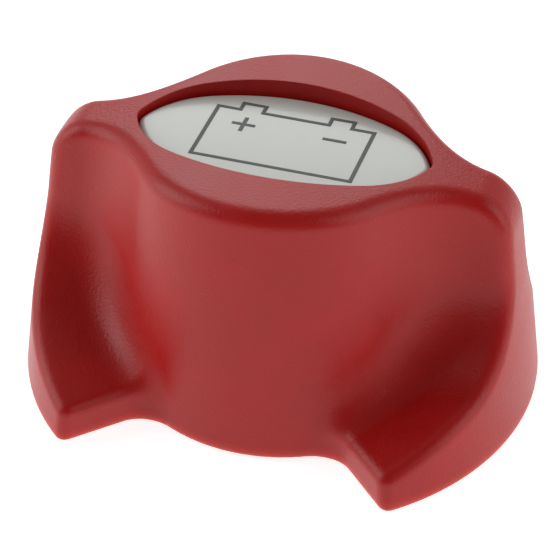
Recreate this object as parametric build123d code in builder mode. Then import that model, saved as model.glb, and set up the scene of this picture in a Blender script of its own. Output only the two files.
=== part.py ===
from build123d import *
import os
from math import cos, degrees, pi, radians, sin, tan

# Battery switch, panel mounted, with a lift-off wing knob.
# Frame: the origin is on the knob's axis, in the plane where the housing's front face meets the panel.
# +Z points out of the panel towards the hand, and the knob's wings lie along X when the switch is off.
# Everything behind the panel has negative Z. All sizes are in millimetres.

# --- knob, outside ---
RIM_R = 33.0            # radius of the knob at its rim
KNOB_H = 34.9           # rim to the top of the crown
RIM_GAP = 0.5           # from the panel's front to the rim
PANEL_T = 3.0           # thickness of the panel that the switch is made for
SKIRT_TAPER = 0.125     # how much the outside narrows for each millimetre of height
CROWN_R = 125.0         # the top face is arched along the wings
DRUM_FOOT_R = 20.9      # the round middle of the knob, at the rim
DRUM_TOP_R = 18.1
WING_HALF = 3.7         # half the thickness of a wing
FLANK_OFFSET = 5.06     # where the foot's flank would cross the knob's middle
FLANK_ANGLE = 44.8      # degrees between the flank and the wing
LIP_H = 5.0             # upright band round the foot of each wing
SHELF_SLOPE = 0.345     # rise of the finger scoop's floor towards the wing
VALLEY_R = 7.0          # between drum and wing
SCOOP_R = 5.0           # between scoop floor and walls
TOP_EDGE_R = 1.3

# --- knob, inside ---
KNOB_WALL = 2.4
LIP_WALL = 2.64         # plastic over the foot's hollow, straight up from it
SLOT_HALF_L = 27.0      # the hollow inside each wing
SLOT_HALF_W = 1.5
SLOT_H = 22.0
ROOF_T = 5.0            # from the top face to the hollow, in the middle
SOCKET_R = 8.0
SOCKET_FLAT = 7.0       # the drive socket has two outer flats this far from the axis
BOSS_R = 10.8
RIB_T = 1.8

# --- legend in the knob's top ---
EYE_HALF_W = 10.2
EYE_SHOULDER = (12.0, 7.65)
EYE_TIP = (18.5, 0.7)
LEGEND_DEPTH = 2.0      # from the middle of the crown down to the legend's face
LEGEND_T = 1.4
LEGEND_GAP = 0.12
SYMBOL_W = 20.0
SYMBOL_H = 10.6
SYMBOL_LINE = 0.5
SYMBOL_T = 0.2
TERMINAL_AT = 5.7
TERMINAL_W = 2.9
TERMINAL_H = 1.45
SIGN_X = 5.8
SIGN_Y = 2.3
SIGN_L = 3.0
LEGEND_BEVEL = 0.6

# --- drive socket in the knob ---
SOCKET_Z = 12.5         # underside of its flange
SOCKET_TOP = 26.0
FLANGE_T = 2.0
FLANGE_R = 10.6
SOCKET_SCREW_AT = 8.9
SOCKET_SCREW_R = 1.1
SOCKET_SCREW_L = 9.0
SCREW_HEAD_H = 1.2
SCREW_HEAD_R = 1.9
SOCKET_END_WALL = 1.0
SNAP_RING_R = 5.7
SNAP_WIRE_R = 0.6
SNAP_Z = 16.2
SNAP_ARC = 325.0        # degrees of wire in the ring
RIB_H = 13.0

# --- spindle and its seals ---
SPINDLE_R = 6.0
HEAD_R = 5.0
HEAD_FLAT = 3.6         # half the distance across the drive flats
FIT_GAP = 0.05          # radial clearance of a running fit
HEAD_Z = 12.2           # where the round spindle ends and its flatted head starts
HEAD_TOP = 24.5
SLEEVE_END = -16.0
HUB_TOP = -5.1
HUB_SLEEVE_R = 6.5
HUB_FLANGE_R = 12.0
HUB_FLANGE_T = 1.8
THRUST_WASHER_R = 11.5
TAB_R = 14.2
TAB_HALF_ANGLE = 10.0
PIN_R = 1.25
PIN_Z = -13.5
O_RING_R = 0.9          # radius of the ring's section
O_RING_MID_R = 5.12
O_RING_SEAT_R = 4.2
O_RING_Z = (2.0, 6.0)
CLIP_Z = 9.9
CLIP_T = 1.0
CLIP_R = 8.6
CLIP_MOUTH_W = 4.0
NECK_WASHER_R = 10.0
WASHER_GAP = 0.1        # round the spindle
END_PLAY = 0.05         # above and below each plastic washer
PIN_INSET = 0.1
HEAD_CHAMFER = 0.8

# --- cam ---
TURN = 90.0             # degrees from off to on
TRAVEL = 3.5            # how far the cam drives the contacts over that turn
CAM_IN_R = 7.2
CAM_OUT_R = 11.0
LUG_HALF_ANGLE = 15.0
LUG_FACE_Z = -11.5      # mid face of a cam lug
CAM_GAP = 0.1
RAMP_SPARE_ANGLE = 2.0  # ramp beyond each end of the lug's travel

# --- contact carrier ---
CARRIER_R = 13.0
CARRIER_TOP = -15.0
CARRIER_BASE = -20.0
CARRIER_BORE_END = -18.0
CARRIER_BORE_GAP = 0.4
EAR_HALF_W = 4.0
EAR_REACH = 19.0
EAR_TOP = -10.0
STEM_R = 4.0
STEM_END = -29.5
STEM_CLIP_R = 3.2
PILOT_R = 1.9
PILOT_L = 2.5
BRIDGE_L = 52.0
BRIDGE_W = 13.0
BRIDGE_CORNER_R = 3.0
BRIDGE_BORE_GAP = 0.3
BRIDGE_CLIP_R = 6.2
BRIDGE_CLIP_MOUTH_W = 2.4
BRIDGE_CLIP_GAP = 0.1
TIP_R = 4.0
SPRING_WIRE_R = 0.5
CONTACT_SPRING_R = 5.6  # to the middle of the wire
CONTACT_TURNS = 2
RETURN_SPRING_R = 3.0
RETURN_TURNS = 6

# --- housing ---
BODY_SIDE = 72.0
BODY_CORNER_R = 11.0
WALL = 3.0
FRONT_T = 4.0
BODY_DEPTH = 38.0       # front face to the joint with the rear cover
NECK_R = 13.0
NECK_TOP = 9.0
NECK_CHAMFER = 0.8
BODY_CHAMFER = 1.0
SEAL_DEPTH = 2.0
FIXING_PCD = 54.0
FIXING_HOLE_R = 1.65    # tapping size of an M4 insert
INSERT_R = 3.0
INSERT_L = 10.0
SEAL_IN_R = 15.5
SEAL_OUT_R = 18.5
COVER_SCREW_AT = 28.5   # cover screws sit this far from both middle planes
COVER_SCREW_R = 1.75
GASKET_T = 1.0
GASKET_HOLE = 63.0
GASKET_CORNER_R = 20.0
COVER_T = 6.0
CAVITY_CORNER_R = 8.0
FIXING_BOSS_R = 5.5
FIXING_BOSS_L = 16.0
COVER_BOSS_R = 5.0
COVER_SCREW_L = 21.0
COVER_HOLE_L = 17.0
COVER_CHAMFER = 1.0
COVER_HEAD_R = 3.5
COVER_HEAD_H = 2.4
COVER_HEAD_SUNK = 0.2
COVER_HEAD_GAP = 0.3
CROSS_L = 4.0           # cross recess in the screw heads
CROSS_W = 0.8
CROSS_DEPTH = 1.2
GUIDE_T = 2.5
GUIDE_FROM = 15.0
GUIDE_END = -26.0
GUIDE_GAP = 0.3
STOP_GAP_ANGLE = 2.5
STOP_ANGLE = 20.0
STOP_END = -7.5
STOP_IN_GAP = 0.6
STOP_OUT_R = 16.2
PLUG_L = 60.0
PLUG_W = 34.0
PLUG_CORNER_R = 3.0
PLUG_H = 3.0            # how far it stands into the housing, gasket included
SPRING_WELL_R = 4.6
SPRING_WELL_Z = -41.0
BARRIER_T = 3.0
BARRIER_L = 60.0
BARRIER_H = 17.0

# --- contacts and studs ---
STUD_AT = 20.0          # the studs stand this far each side of the axis
STUD_R = 5.0
STUD_END_R = 4.8        # the free end, where a cable lug goes on
STUD_HEAD_SIDE = 15.0
STUD_HEAD_CORNER_R = 2.0
STUD_CHAMFER = 0.8
STUD_SEAL_R = 7.4
STUD_SEAL_T = 1.0
SHOULDER_R = 5.4
STUD_HEAD_T = 4.6
TIP_T = 0.8
CLOSED_GAP = 0.1        # left between tip and stud at the end of the travel
BRIDGE_T = 3.0
WASHER_T = 2.0
WASHER_R = 10.0
WASHER_BORE_GAP = 0.25
SPRING_WASHER_T = 2.4
SPRING_WASHER_R = 8.5
SPRING_WASHER_GAP = 0.15
SPRING_WASHER_SLIT = 1.0
SPRING_WASHER_SLANT = 20.0
NUT_H = 8.0
NUT_AF = 16.0
STUD_END_L = 10.0

# --- worked out ---
RIM_Z = PANEL_T + RIM_GAP
TOP_Z = RIM_Z + KNOB_H
LEGEND_Z = TOP_Z - LEGEND_DEPTH
ROOF_Z = TOP_Z - ROOF_T
COVER_TOP = -BODY_DEPTH - GASKET_T
COVER_BACK = COVER_TOP - COVER_T
HEAD_SEAT = COVER_TOP + PLUG_H
TIP_REST = HEAD_SEAT + STUD_HEAD_T + CLOSED_GAP + TRAVEL
BRIDGE_BOTTOM = TIP_REST + TIP_T
BRIDGE_TOP = BRIDGE_BOTTOM + BRIDGE_T
BRIDGE_CLIP_Z = BRIDGE_BOTTOM - BRIDGE_CLIP_GAP - CLIP_T
PITCH = TRAVEL / radians(TURN)
BOTTOM_UP = (Align.CENTER, Align.CENTER, Align.MIN)
NUT_TOP = COVER_BACK - WASHER_T - SPRING_WASHER_T
NUT_END = NUT_TOP - NUT_H
SIDES = {"left": -1, "right": 1}


def save(piece, name):
    """Label a finished piece and write its STEP file."""
    piece.label = name
    export_step(piece, f"parts/{name}.step")


def ring(inner, outer, low, high):
    """A plain ring about the knob's axis."""
    with BuildPart() as made:
        with BuildSketch(Plane.XY.offset(low)):
            Circle(outer)
            Circle(inner, mode=Mode.SUBTRACT)
        extrude(amount=high - low)
    return made.part


def helical_band(from_deg, to_deg, inner, outer, face_at, flat_z, steps=16):
    """A sector between a flat face and a helical one, lofted through radial sections."""
    with BuildPart() as made:
        for i in range(steps + 1):
            a = from_deg + (to_deg - from_deg) * i / steps
            face_z = face_at(radians(a))
            radial = Vector(cos(radians(a)), sin(radians(a)), 0)
            section = Plane(origin=(0, 0, 0), x_dir=radial, z_dir=radial.cross(Vector(0, 0, 1)))
            with BuildSketch(section):
                with BuildLine():
                    Polyline((inner, face_z), (outer, face_z), (outer, flat_z), (inner, flat_z), close=True)
                make_face()
        loft(ruled=True)
    return made.part


def coil(radius, wire, low, high, turns):
    """A compression spring as a round wire swept along a helix."""
    height = high - low - 2 * wire
    with BuildPart() as made:
        with BuildLine(Plane.XY.offset(low + wire)) as path:
            Helix(pitch=height / turns, height=height, radius=radius)
        with BuildSketch(Plane(origin=path.line @ 0, z_dir=path.line % 0)):
            Circle(wire)
        sweep(is_frenet=True)
    return made.part


os.makedirs("parts", exist_ok=True)

# ---------------------------------------------------------------- knob shell
flank = radians(FLANK_ANGLE)
inward = Vector(sin(flank), cos(flank), 0)
along = Vector(cos(flank), -sin(flank), 0)
rising = Vector(inward.X, inward.Y, SHELF_SLOPE).normalized()
reach = 1.2 * RIM_R     # beyond the rim, where the foot is trimmed


def foot_quarter(inset, low, lip_top):
    """One quarter of the flared foot, under its sloping scoop floor, drawn in from its faces by inset."""
    start = FLANK_OFFSET - inset / cos(flank)
    with BuildPart() as made:
        with BuildSketch(Plane.XY.offset(low)):
            with BuildLine():
                Polyline((0, 0), (reach, 0), (reach, -start - reach * tan(flank)), (0, -start), close=True)
            make_face()
        extrude(amount=KNOB_H)
        floor = Plane(origin=(0, -start, lip_top), x_dir=along, z_dir=along.cross(rising))
        split(bisect_by=floor, keep=Keep.BOTTOM)
    return made.part


foot = foot_quarter(0, RIM_Z, RIM_Z + LIP_H)
hollow_foot = foot_quarter(KNOB_WALL, RIM_Z, RIM_Z + LIP_H - LIP_WALL + SHELF_SLOPE * KNOB_WALL)


def four_ways(quarter):
    """The quarter and its mirror images about both middle planes."""
    half = [quarter, quarter.mirror(Plane.XZ)]
    return half + [piece.mirror(Plane.YZ) for piece in half]


with BuildPart() as hollow:
    for quarter in four_ways(hollow_foot):
        add(quarter)
    with BuildSketch(Plane.XY.offset(RIM_Z)):
        Rectangle(2 * SLOT_HALF_L, 2 * SLOT_HALF_W)
    extrude(amount=SLOT_H)
    with Locations((0, 0, RIM_Z)):
        Cone(RIM_R - KNOB_WALL, RIM_R - KNOB_WALL - KNOB_H * SKIRT_TAPER, KNOB_H,
             align=BOTTOM_UP, mode=Mode.INTERSECT)
        Cone(DRUM_FOOT_R - KNOB_WALL, DRUM_TOP_R - KNOB_WALL + 0.4, KNOB_H - ROOF_T, align=BOTTOM_UP)

with BuildPart() as eye_pocket:
    with BuildSketch(Plane.XY.offset(LEGEND_Z - LEGEND_T)) as eye_outline:
        with BuildLine():
            upper = ThreePointArc((-EYE_SHOULDER[0], EYE_SHOULDER[1]), (0, EYE_HALF_W), EYE_SHOULDER)
            right = TangentArc(EYE_SHOULDER, EYE_TIP, tangent=upper % 1)
            tip = TangentArc(EYE_TIP, (EYE_TIP[0], -EYE_TIP[1]), tangent=right % 1)
            mirror(upper, about=Plane.XZ)
            mirror(right, about=Plane.XZ)
            mirror(right, about=Plane.YZ)
            mirror(tip, about=Plane.YZ)
            mirror(mirror(right, about=Plane.XZ, mode=Mode.PRIVATE), about=Plane.YZ)
        make_face()
    extrude(amount=10)

with BuildPart() as knob_shell:
    with BuildSketch(Plane.XY.offset(RIM_Z)):
        Rectangle(2 * RIM_R, 2 * WING_HALF)
    extrude(amount=KNOB_H)
    for quarter in four_ways(foot):
        add(quarter)
    with Locations((0, 0, RIM_Z)):
        Cone(RIM_R, RIM_R - KNOB_H * SKIRT_TAPER, KNOB_H, align=BOTTOM_UP, mode=Mode.INTERSECT)
        Cone(DRUM_FOOT_R, DRUM_TOP_R, KNOB_H, align=BOTTOM_UP)
    with Locations((0, 0, TOP_Z - CROWN_R)):
        Cylinder(CROWN_R, 4 * RIM_R, rotation=(90, 0, 0), mode=Mode.INTERSECT)
    # the soft valleys where each wing grows out of the drum
    upright = [e for e in edges() if abs(abs(e.center().Y) - WING_HALF) < 0.5
               and DRUM_TOP_R - 1 < abs(e.center().X) < DRUM_FOOT_R and e.length > KNOB_H / 2]
    fillet(upright, VALLEY_R)
    # the scoop floors run up into the wings and the drum
    scoop = [e for e in edges() if RIM_Z + LIP_H < e.center().Z < RIM_Z + 16
             and e.length > 3 and (e @ 0).Z != (e @ 1).Z
             and abs((e @ 0.5).X) < 28 and abs((e @ 0.5).Y) < 14]
    fillet(scoop, SCOOP_R)
    fillet(faces().sort_by(Axis.Z)[-1].outer_wire().edges(), TOP_EDGE_R)
    add(hollow.part, mode=Mode.SUBTRACT)
    # boss for the drive socket, tied to the drum by ribs
    with BuildSketch(Plane.XY.offset(SOCKET_Z + FLANGE_T)):
        Circle(BOSS_R)
    extrude(amount=ROOF_Z - SOCKET_Z - FLANGE_T)
    with BuildSketch(Plane.XY.offset(ROOF_Z - RIB_H)):
        Rectangle(RIB_T, 2 * DRUM_TOP_R - KNOB_WALL)
        Rectangle(2 * DRUM_TOP_R - KNOB_WALL, RIB_T)
    extrude(amount=RIB_H)
    with BuildSketch(Plane.XY.offset(SOCKET_Z + FLANGE_T)):
        Circle(SOCKET_R)
        Rectangle(2 * SOCKET_R, 2 * SOCKET_FLAT, mode=Mode.INTERSECT)
    extrude(amount=SOCKET_TOP - SOCKET_Z - FLANGE_T, mode=Mode.SUBTRACT)
    with BuildSketch(Plane.XY.offset(SOCKET_Z)):
        with GridLocations(0, 2 * SOCKET_SCREW_AT, 1, 2):
            Circle(SOCKET_SCREW_R)
    extrude(amount=SOCKET_SCREW_L, mode=Mode.SUBTRACT)
    add(eye_pocket.part, mode=Mode.SUBTRACT)
save(knob_shell.part, "knob_shell")

# ---------------------------------------------------------------- legend
with BuildPart() as legend_symbol:
    with BuildSketch(Plane.XY.offset(LEGEND_Z - SYMBOL_T)):
        for grow, way in ((SYMBOL_LINE / 2, Mode.ADD), (-SYMBOL_LINE / 2, Mode.SUBTRACT)):
            with BuildSketch(mode=Mode.PRIVATE) as outline:
                Rectangle(SYMBOL_W, SYMBOL_H)
                with Locations((-TERMINAL_AT, SYMBOL_H / 2), (TERMINAL_AT, SYMBOL_H / 2)):
                    Rectangle(TERMINAL_W, 2 * TERMINAL_H)
                offset(amount=grow, kind=Kind.INTERSECTION)
            add(outline.sketch, mode=way)
        with Locations((-SIGN_X, SIGN_Y)):
            Rectangle(SIGN_L, SYMBOL_LINE)
            Rectangle(SYMBOL_LINE, SIGN_L)
        with Locations((SIGN_X, SIGN_Y)):
            Rectangle(SIGN_L, SYMBOL_LINE)
    extrude(amount=SYMBOL_T)
save(legend_symbol.part, "legend_symbol")

with BuildPart() as legend_plate:
    with BuildSketch(Plane.XY.offset(LEGEND_Z - LEGEND_T)):
        add(eye_outline.sketch.face())
        offset(amount=-LEGEND_GAP)
    extrude(amount=LEGEND_T)
    chamfer(faces().sort_by(Axis.Z)[-1].edges(), LEGEND_BEVEL)
    add(legend_symbol.part, mode=Mode.SUBTRACT)
save(legend_plate.part, "legend_plate")

# ---------------------------------------------------------------- drive socket in the knob
with BuildPart() as drive_socket:
    with BuildSketch(Plane.XY.offset(SOCKET_Z)):
        Circle(FLANGE_R)
    extrude(amount=FLANGE_T)
    with BuildSketch(Plane.XY.offset(SOCKET_Z)):
        Circle(SOCKET_R)
        Rectangle(2 * SOCKET_R, 2 * SOCKET_FLAT, mode=Mode.INTERSECT)
    extrude(amount=SOCKET_TOP - SOCKET_Z)
    with BuildSketch(Plane.XY.offset(SOCKET_Z)):
        Circle(HEAD_R + FIT_GAP)
        Rectangle(2 * SOCKET_R, 2 * (HEAD_FLAT + FIT_GAP), mode=Mode.INTERSECT)
    extrude(amount=SOCKET_TOP - SOCKET_Z - SOCKET_END_WALL, mode=Mode.SUBTRACT)
    groove_r = SNAP_RING_R + SNAP_WIRE_R
    add(ring(HEAD_FLAT, groove_r, SNAP_Z - SNAP_WIRE_R, SNAP_Z + SNAP_WIRE_R), mode=Mode.SUBTRACT)
    with BuildSketch(Plane.XY.offset(SOCKET_Z)):
        with GridLocations(0, 2 * SOCKET_SCREW_AT, 1, 2):
            Circle(SOCKET_SCREW_R)
    extrude(amount=FLANGE_T, mode=Mode.SUBTRACT)
save(drive_socket.part, "drive_socket")

with BuildPart() as socket_screws:
    with BuildSketch(Plane.XY.offset(SOCKET_Z)):
        with GridLocations(0, 2 * SOCKET_SCREW_AT, 1, 2):
            Circle(SOCKET_SCREW_R)
    extrude(amount=SOCKET_SCREW_L)
    with BuildSketch(Plane.XY.offset(SOCKET_Z - SCREW_HEAD_H)):
        with GridLocations(0, 2 * SOCKET_SCREW_AT, 1, 2):
            Circle(SCREW_HEAD_R)
    extrude(amount=SCREW_HEAD_H)
save(socket_screws.part, "socket_screws")

with BuildPart() as snap_ring:
    with BuildSketch(Plane.XZ):
        with Locations((SNAP_RING_R, SNAP_Z)):
            Circle(SNAP_WIRE_R)
    revolve(axis=Axis.Z, revolution_arc=SNAP_ARC)
save(snap_ring.part, "snap_ring")

# ---------------------------------------------------------------- rotor
with BuildPart() as cross_pin:
    with BuildSketch(Plane.YZ.offset(-HUB_SLEEVE_R + PIN_INSET)):
        with Locations((0, PIN_Z)):
            Circle(PIN_R)
    extrude(amount=2 * (HUB_SLEEVE_R - PIN_INSET))
save(cross_pin.part, "cross_pin")

with BuildPart() as spindle:
    with BuildSketch(Plane.XY.offset(SLEEVE_END)):
        Circle(HEAD_R)
    extrude(amount=HEAD_TOP - SLEEVE_END)
    with BuildSketch(Plane.XY.offset(HUB_TOP)):
        Circle(SPINDLE_R)
    extrude(amount=HEAD_Z - HUB_TOP)
    with BuildSketch(Plane.XY.offset(HEAD_Z)):
        with GridLocations(0, 2 * (HEAD_FLAT + HEAD_R), 1, 2):
            Rectangle(4 * HEAD_R, 2 * HEAD_R)
    extrude(amount=HEAD_TOP - HEAD_Z, mode=Mode.SUBTRACT)
    chamfer(faces().sort_by(Axis.Z)[-1].edges(), HEAD_CHAMFER)
    for z in O_RING_Z:
        add(ring(O_RING_SEAT_R, SPINDLE_R + 1, z - 1.1 * O_RING_R, z + 1.1 * O_RING_R), mode=Mode.SUBTRACT)
    add(ring(HEAD_R, SPINDLE_R + 1, CLIP_Z, CLIP_Z + CLIP_T), mode=Mode.SUBTRACT)
    add(cross_pin.part, mode=Mode.SUBTRACT)
save(spindle.part, "spindle")

with BuildPart() as cam_hub:
    add(ring(HEAD_R, HUB_SLEEVE_R, SLEEVE_END, HUB_TOP))
    add(ring(HEAD_R, HUB_FLANGE_R, HUB_TOP - HUB_FLANGE_T, HUB_TOP))
    for start in (0, pi):
        middle = degrees(start)
        add(helical_band(middle - LUG_HALF_ANGLE, middle + LUG_HALF_ANGLE, CAM_IN_R, CAM_OUT_R,
                         lambda a: LUG_FACE_Z - PITCH * (a - start), HUB_TOP - HUB_FLANGE_T / 2, steps=6))
    # the tab that meets the housing's two stops
    add(helical_band(90 - TAB_HALF_ANGLE, 90 + TAB_HALF_ANGLE, HUB_FLANGE_R - 1, TAB_R,
                     lambda a: HUB_TOP - HUB_FLANGE_T, HUB_TOP, steps=4))
    add(cross_pin.part, mode=Mode.SUBTRACT)
save(cam_hub.part, "cam_hub")

with BuildPart() as spindle_o_rings:
    with BuildSketch(Plane.XZ):
        with Locations(*[(O_RING_MID_R, z) for z in O_RING_Z]):
            Circle(O_RING_R)
    revolve(axis=Axis.Z)
save(spindle_o_rings.part, "spindle_o_rings")

washer_bore = SPINDLE_R + WASHER_GAP
save(ring(washer_bore, THRUST_WASHER_R, HUB_TOP + END_PLAY, -FRONT_T - END_PLAY), "thrust_washer")
save(ring(washer_bore, NECK_WASHER_R, NECK_TOP + END_PLAY, CLIP_Z - END_PLAY), "neck_washer")

with BuildPart() as spindle_clip:
    add(ring(HEAD_R, CLIP_R, CLIP_Z, CLIP_Z + CLIP_T))
    with BuildSketch(Plane.XY.offset(CLIP_Z)):
        with Locations((0, CLIP_R)):
            Rectangle(CLIP_MOUTH_W, CLIP_R)
    extrude(amount=CLIP_T, mode=Mode.SUBTRACT)
save(spindle_clip.part, "spindle_clip")

# ---------------------------------------------------------------- contact carrier
with BuildPart() as contact_carrier:
    add(ring(HUB_SLEEVE_R + CARRIER_BORE_GAP, CARRIER_R, CARRIER_BORE_END, CARRIER_TOP))
    with BuildSketch(Plane.XY.offset(CARRIER_BASE)):
        Circle(CARRIER_R)
    extrude(amount=CARRIER_BORE_END - CARRIER_BASE)
    for side in (-1, 1):
        with BuildSketch(Plane.XY.offset(CARRIER_BASE)):
            with Locations((0, side * (CARRIER_R - 1 + EAR_REACH) / 2)):
                Rectangle(2 * EAR_HALF_W, EAR_REACH - CARRIER_R + 1)
        extrude(amount=EAR_TOP - CARRIER_BASE)
    for start in (0, pi):
        middle = degrees(start)
        add(helical_band(middle - TURN - LUG_HALF_ANGLE - RAMP_SPARE_ANGLE,
                         middle + LUG_HALF_ANGLE + RAMP_SPARE_ANGLE, CAM_IN_R, CAM_OUT_R,
                         lambda a: LUG_FACE_Z - CAM_GAP - PITCH * (a - start), CARRIER_TOP - 0.5))
    with BuildSketch(Plane.XY.offset(STEM_END)):
        Circle(STEM_R)
    extrude(amount=CARRIER_BASE - STEM_END)
    with BuildSketch(Plane.XY.offset(STEM_END - PILOT_L)):
        Circle(PILOT_R)
    extrude(amount=PILOT_L)
    add(ring(STEM_CLIP_R, STEM_R + 1, BRIDGE_CLIP_Z, BRIDGE_CLIP_Z + CLIP_T), mode=Mode.SUBTRACT)
save(contact_carrier.part, "contact_carrier")

with BuildPart() as contact_bridge:
    with BuildSketch(Plane.XY.offset(BRIDGE_BOTTOM)):
        RectangleRounded(BRIDGE_L, BRIDGE_W, BRIDGE_CORNER_R)
        Circle(STEM_R + BRIDGE_BORE_GAP, mode=Mode.SUBTRACT)
    extrude(amount=BRIDGE_T)
save(contact_bridge.part, "contact_bridge")

with BuildPart() as contact_tips:
    with BuildSketch(Plane.XY.offset(TIP_REST)):
        with GridLocations(2 * STUD_AT, 0, 2, 1):
            Circle(TIP_R)
    extrude(amount=TIP_T)
save(contact_tips.part, "contact_tips")

with BuildPart() as bridge_clip:
    add(ring(STEM_CLIP_R, BRIDGE_CLIP_R, BRIDGE_CLIP_Z, BRIDGE_CLIP_Z + CLIP_T))
    with BuildSketch(Plane.XY.offset(BRIDGE_CLIP_Z)):
        with Locations((0, BRIDGE_CLIP_R)):
            Rectangle(BRIDGE_CLIP_MOUTH_W, BRIDGE_CLIP_R)
    extrude(amount=CLIP_T, mode=Mode.SUBTRACT)
save(bridge_clip.part, "bridge_clip")

save(coil(CONTACT_SPRING_R, SPRING_WIRE_R, BRIDGE_TOP, CARRIER_BASE, CONTACT_TURNS), "contact_spring")
save(coil(RETURN_SPRING_R, SPRING_WIRE_R, SPRING_WELL_Z, STEM_END, RETURN_TURNS), "return_spring")

# ---------------------------------------------------------------- housing
with BuildPart() as housing_body:
    with BuildSketch(Plane.XY.offset(-BODY_DEPTH)):
        RectangleRounded(BODY_SIDE, BODY_SIDE, BODY_CORNER_R)
    extrude(amount=BODY_DEPTH)
    chamfer(faces().sort_by(Axis.Z)[-1].edges(), BODY_CHAMFER)
    with BuildSketch(Plane.XY.offset(-BODY_DEPTH)):
        RectangleRounded(BODY_SIDE - 2 * WALL, BODY_SIDE - 2 * WALL, CAVITY_CORNER_R)
    extrude(amount=BODY_DEPTH - FRONT_T, mode=Mode.SUBTRACT)
    # bosses for the panel fixings and for the rear cover's screws
    with BuildSketch(Plane.XY.offset(-FIXING_BOSS_L)):
        with PolarLocations(FIXING_PCD / 2, 4, start_angle=45):
            Circle(FIXING_BOSS_R)
    extrude(amount=FIXING_BOSS_L - 1)
    with BuildSketch(Plane.XY.offset(-BODY_DEPTH)):
        with GridLocations(2 * COVER_SCREW_AT, 2 * COVER_SCREW_AT, 2, 2):
            Circle(COVER_BOSS_R)
    extrude(amount=BODY_DEPTH - 2)
    # guide walls for the carrier's ears
    with BuildSketch(Plane.XY.offset(GUIDE_END)):
        guide_l = BODY_SIDE / 2 - 1 - GUIDE_FROM
        with GridLocations(2 * (EAR_HALF_W + GUIDE_GAP) + GUIDE_T, 2 * GUIDE_FROM + guide_l, 2, 2):
            Rectangle(GUIDE_T, guide_l)
    extrude(amount=-GUIDE_END - FRONT_T + 1)
    # stops for the cam hub's tab, one for off and one for on
    rest_stop = 90 + TAB_HALF_ANGLE + STOP_GAP_ANGLE
    turned_stop = 90 - TURN - TAB_HALF_ANGLE - STOP_GAP_ANGLE
    for start, end in ((rest_stop, rest_stop + STOP_ANGLE), (turned_stop - STOP_ANGLE, turned_stop)):
        add(helical_band(start, end, HUB_FLANGE_R + STOP_IN_GAP, STOP_OUT_R,
                         lambda a: STOP_END, -FRONT_T + 1, steps=4))
    # neck that passes through the panel
    with BuildSketch():
        Circle(NECK_R)
    extrude(amount=NECK_TOP)
    chamfer(faces().sort_by(Axis.Z)[-1].edges(), NECK_CHAMFER)
    with Locations((0, 0, NECK_TOP)):
        Hole(SPINDLE_R + FIT_GAP, depth=NECK_TOP + FRONT_T + 1)
    add(ring(SEAL_IN_R, SEAL_OUT_R, -SEAL_DEPTH, 1), mode=Mode.SUBTRACT)
    with BuildSketch():
        with PolarLocations(FIXING_PCD / 2, 4, start_angle=45):
            Circle(INSERT_R)
    extrude(amount=-INSERT_L, mode=Mode.SUBTRACT)
    with BuildSketch(Plane.XY.offset(-BODY_DEPTH)):
        with GridLocations(2 * COVER_SCREW_AT, 2 * COVER_SCREW_AT, 2, 2):
            Circle(COVER_SCREW_R)
    extrude(amount=COVER_HOLE_L, mode=Mode.SUBTRACT)
save(housing_body.part, "housing_body")

save(ring(SEAL_IN_R, SEAL_OUT_R, -SEAL_DEPTH, 0), "panel_seal")

with BuildPart() as fixing_inserts:
    with BuildSketch():
        with PolarLocations(FIXING_PCD / 2, 4, start_angle=45):
            Circle(INSERT_R)
            Circle(FIXING_HOLE_R, mode=Mode.SUBTRACT)
    extrude(amount=-INSERT_L)
save(fixing_inserts.part, "fixing_inserts")

# ---------------------------------------------------------------- rear cover
with BuildPart() as rear_cover:
    with BuildSketch(Plane.XY.offset(COVER_BACK)):
        RectangleRounded(BODY_SIDE, BODY_SIDE, BODY_CORNER_R)
    extrude(amount=COVER_T)
    chamfer(faces().sort_by(Axis.Z)[0].edges(), COVER_CHAMFER)
    with BuildSketch(Plane.XY.offset(COVER_TOP)):
        RectangleRounded(PLUG_L, PLUG_W, PLUG_CORNER_R)
    extrude(amount=HEAD_SEAT - COVER_TOP)
    with BuildSketch(Plane.XY.offset(COVER_BACK)):
        Rectangle(BARRIER_T, BARRIER_L)
    extrude(amount=-BARRIER_H)
    with BuildSketch(Plane.XY.offset(SPRING_WELL_Z)):
        Circle(SPRING_WELL_R)
    extrude(amount=HEAD_SEAT - SPRING_WELL_Z, mode=Mode.SUBTRACT)
    with Locations((-STUD_AT, 0, HEAD_SEAT), (STUD_AT, 0, HEAD_SEAT)):
        Hole(SHOULDER_R)
    with BuildSketch(Plane.XY.offset(COVER_BACK)):
        with GridLocations(2 * STUD_AT, 0, 2, 1):
            Circle(STUD_SEAL_R)
    extrude(amount=STUD_SEAL_T, mode=Mode.SUBTRACT)
    with Locations(Plane(origin=(0, 0, COVER_BACK), z_dir=(0, 0, -1))):
        with GridLocations(2 * COVER_SCREW_AT, 2 * COVER_SCREW_AT, 2, 2):
            CounterBoreHole(COVER_SCREW_R, COVER_HEAD_R + COVER_HEAD_GAP, COVER_HEAD_H + COVER_HEAD_SUNK)
save(rear_cover.part, "rear_cover")

with BuildPart() as cover_gasket:
    with BuildSketch(Plane.XY.offset(COVER_TOP)):
        RectangleRounded(BODY_SIDE, BODY_SIDE, BODY_CORNER_R)
        RectangleRounded(GASKET_HOLE, GASKET_HOLE, GASKET_CORNER_R, mode=Mode.SUBTRACT)
        with GridLocations(2 * COVER_SCREW_AT, 2 * COVER_SCREW_AT, 2, 2):
            Circle(COVER_SCREW_R, mode=Mode.SUBTRACT)
    extrude(amount=GASKET_T)
save(cover_gasket.part, "cover_gasket")

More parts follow.
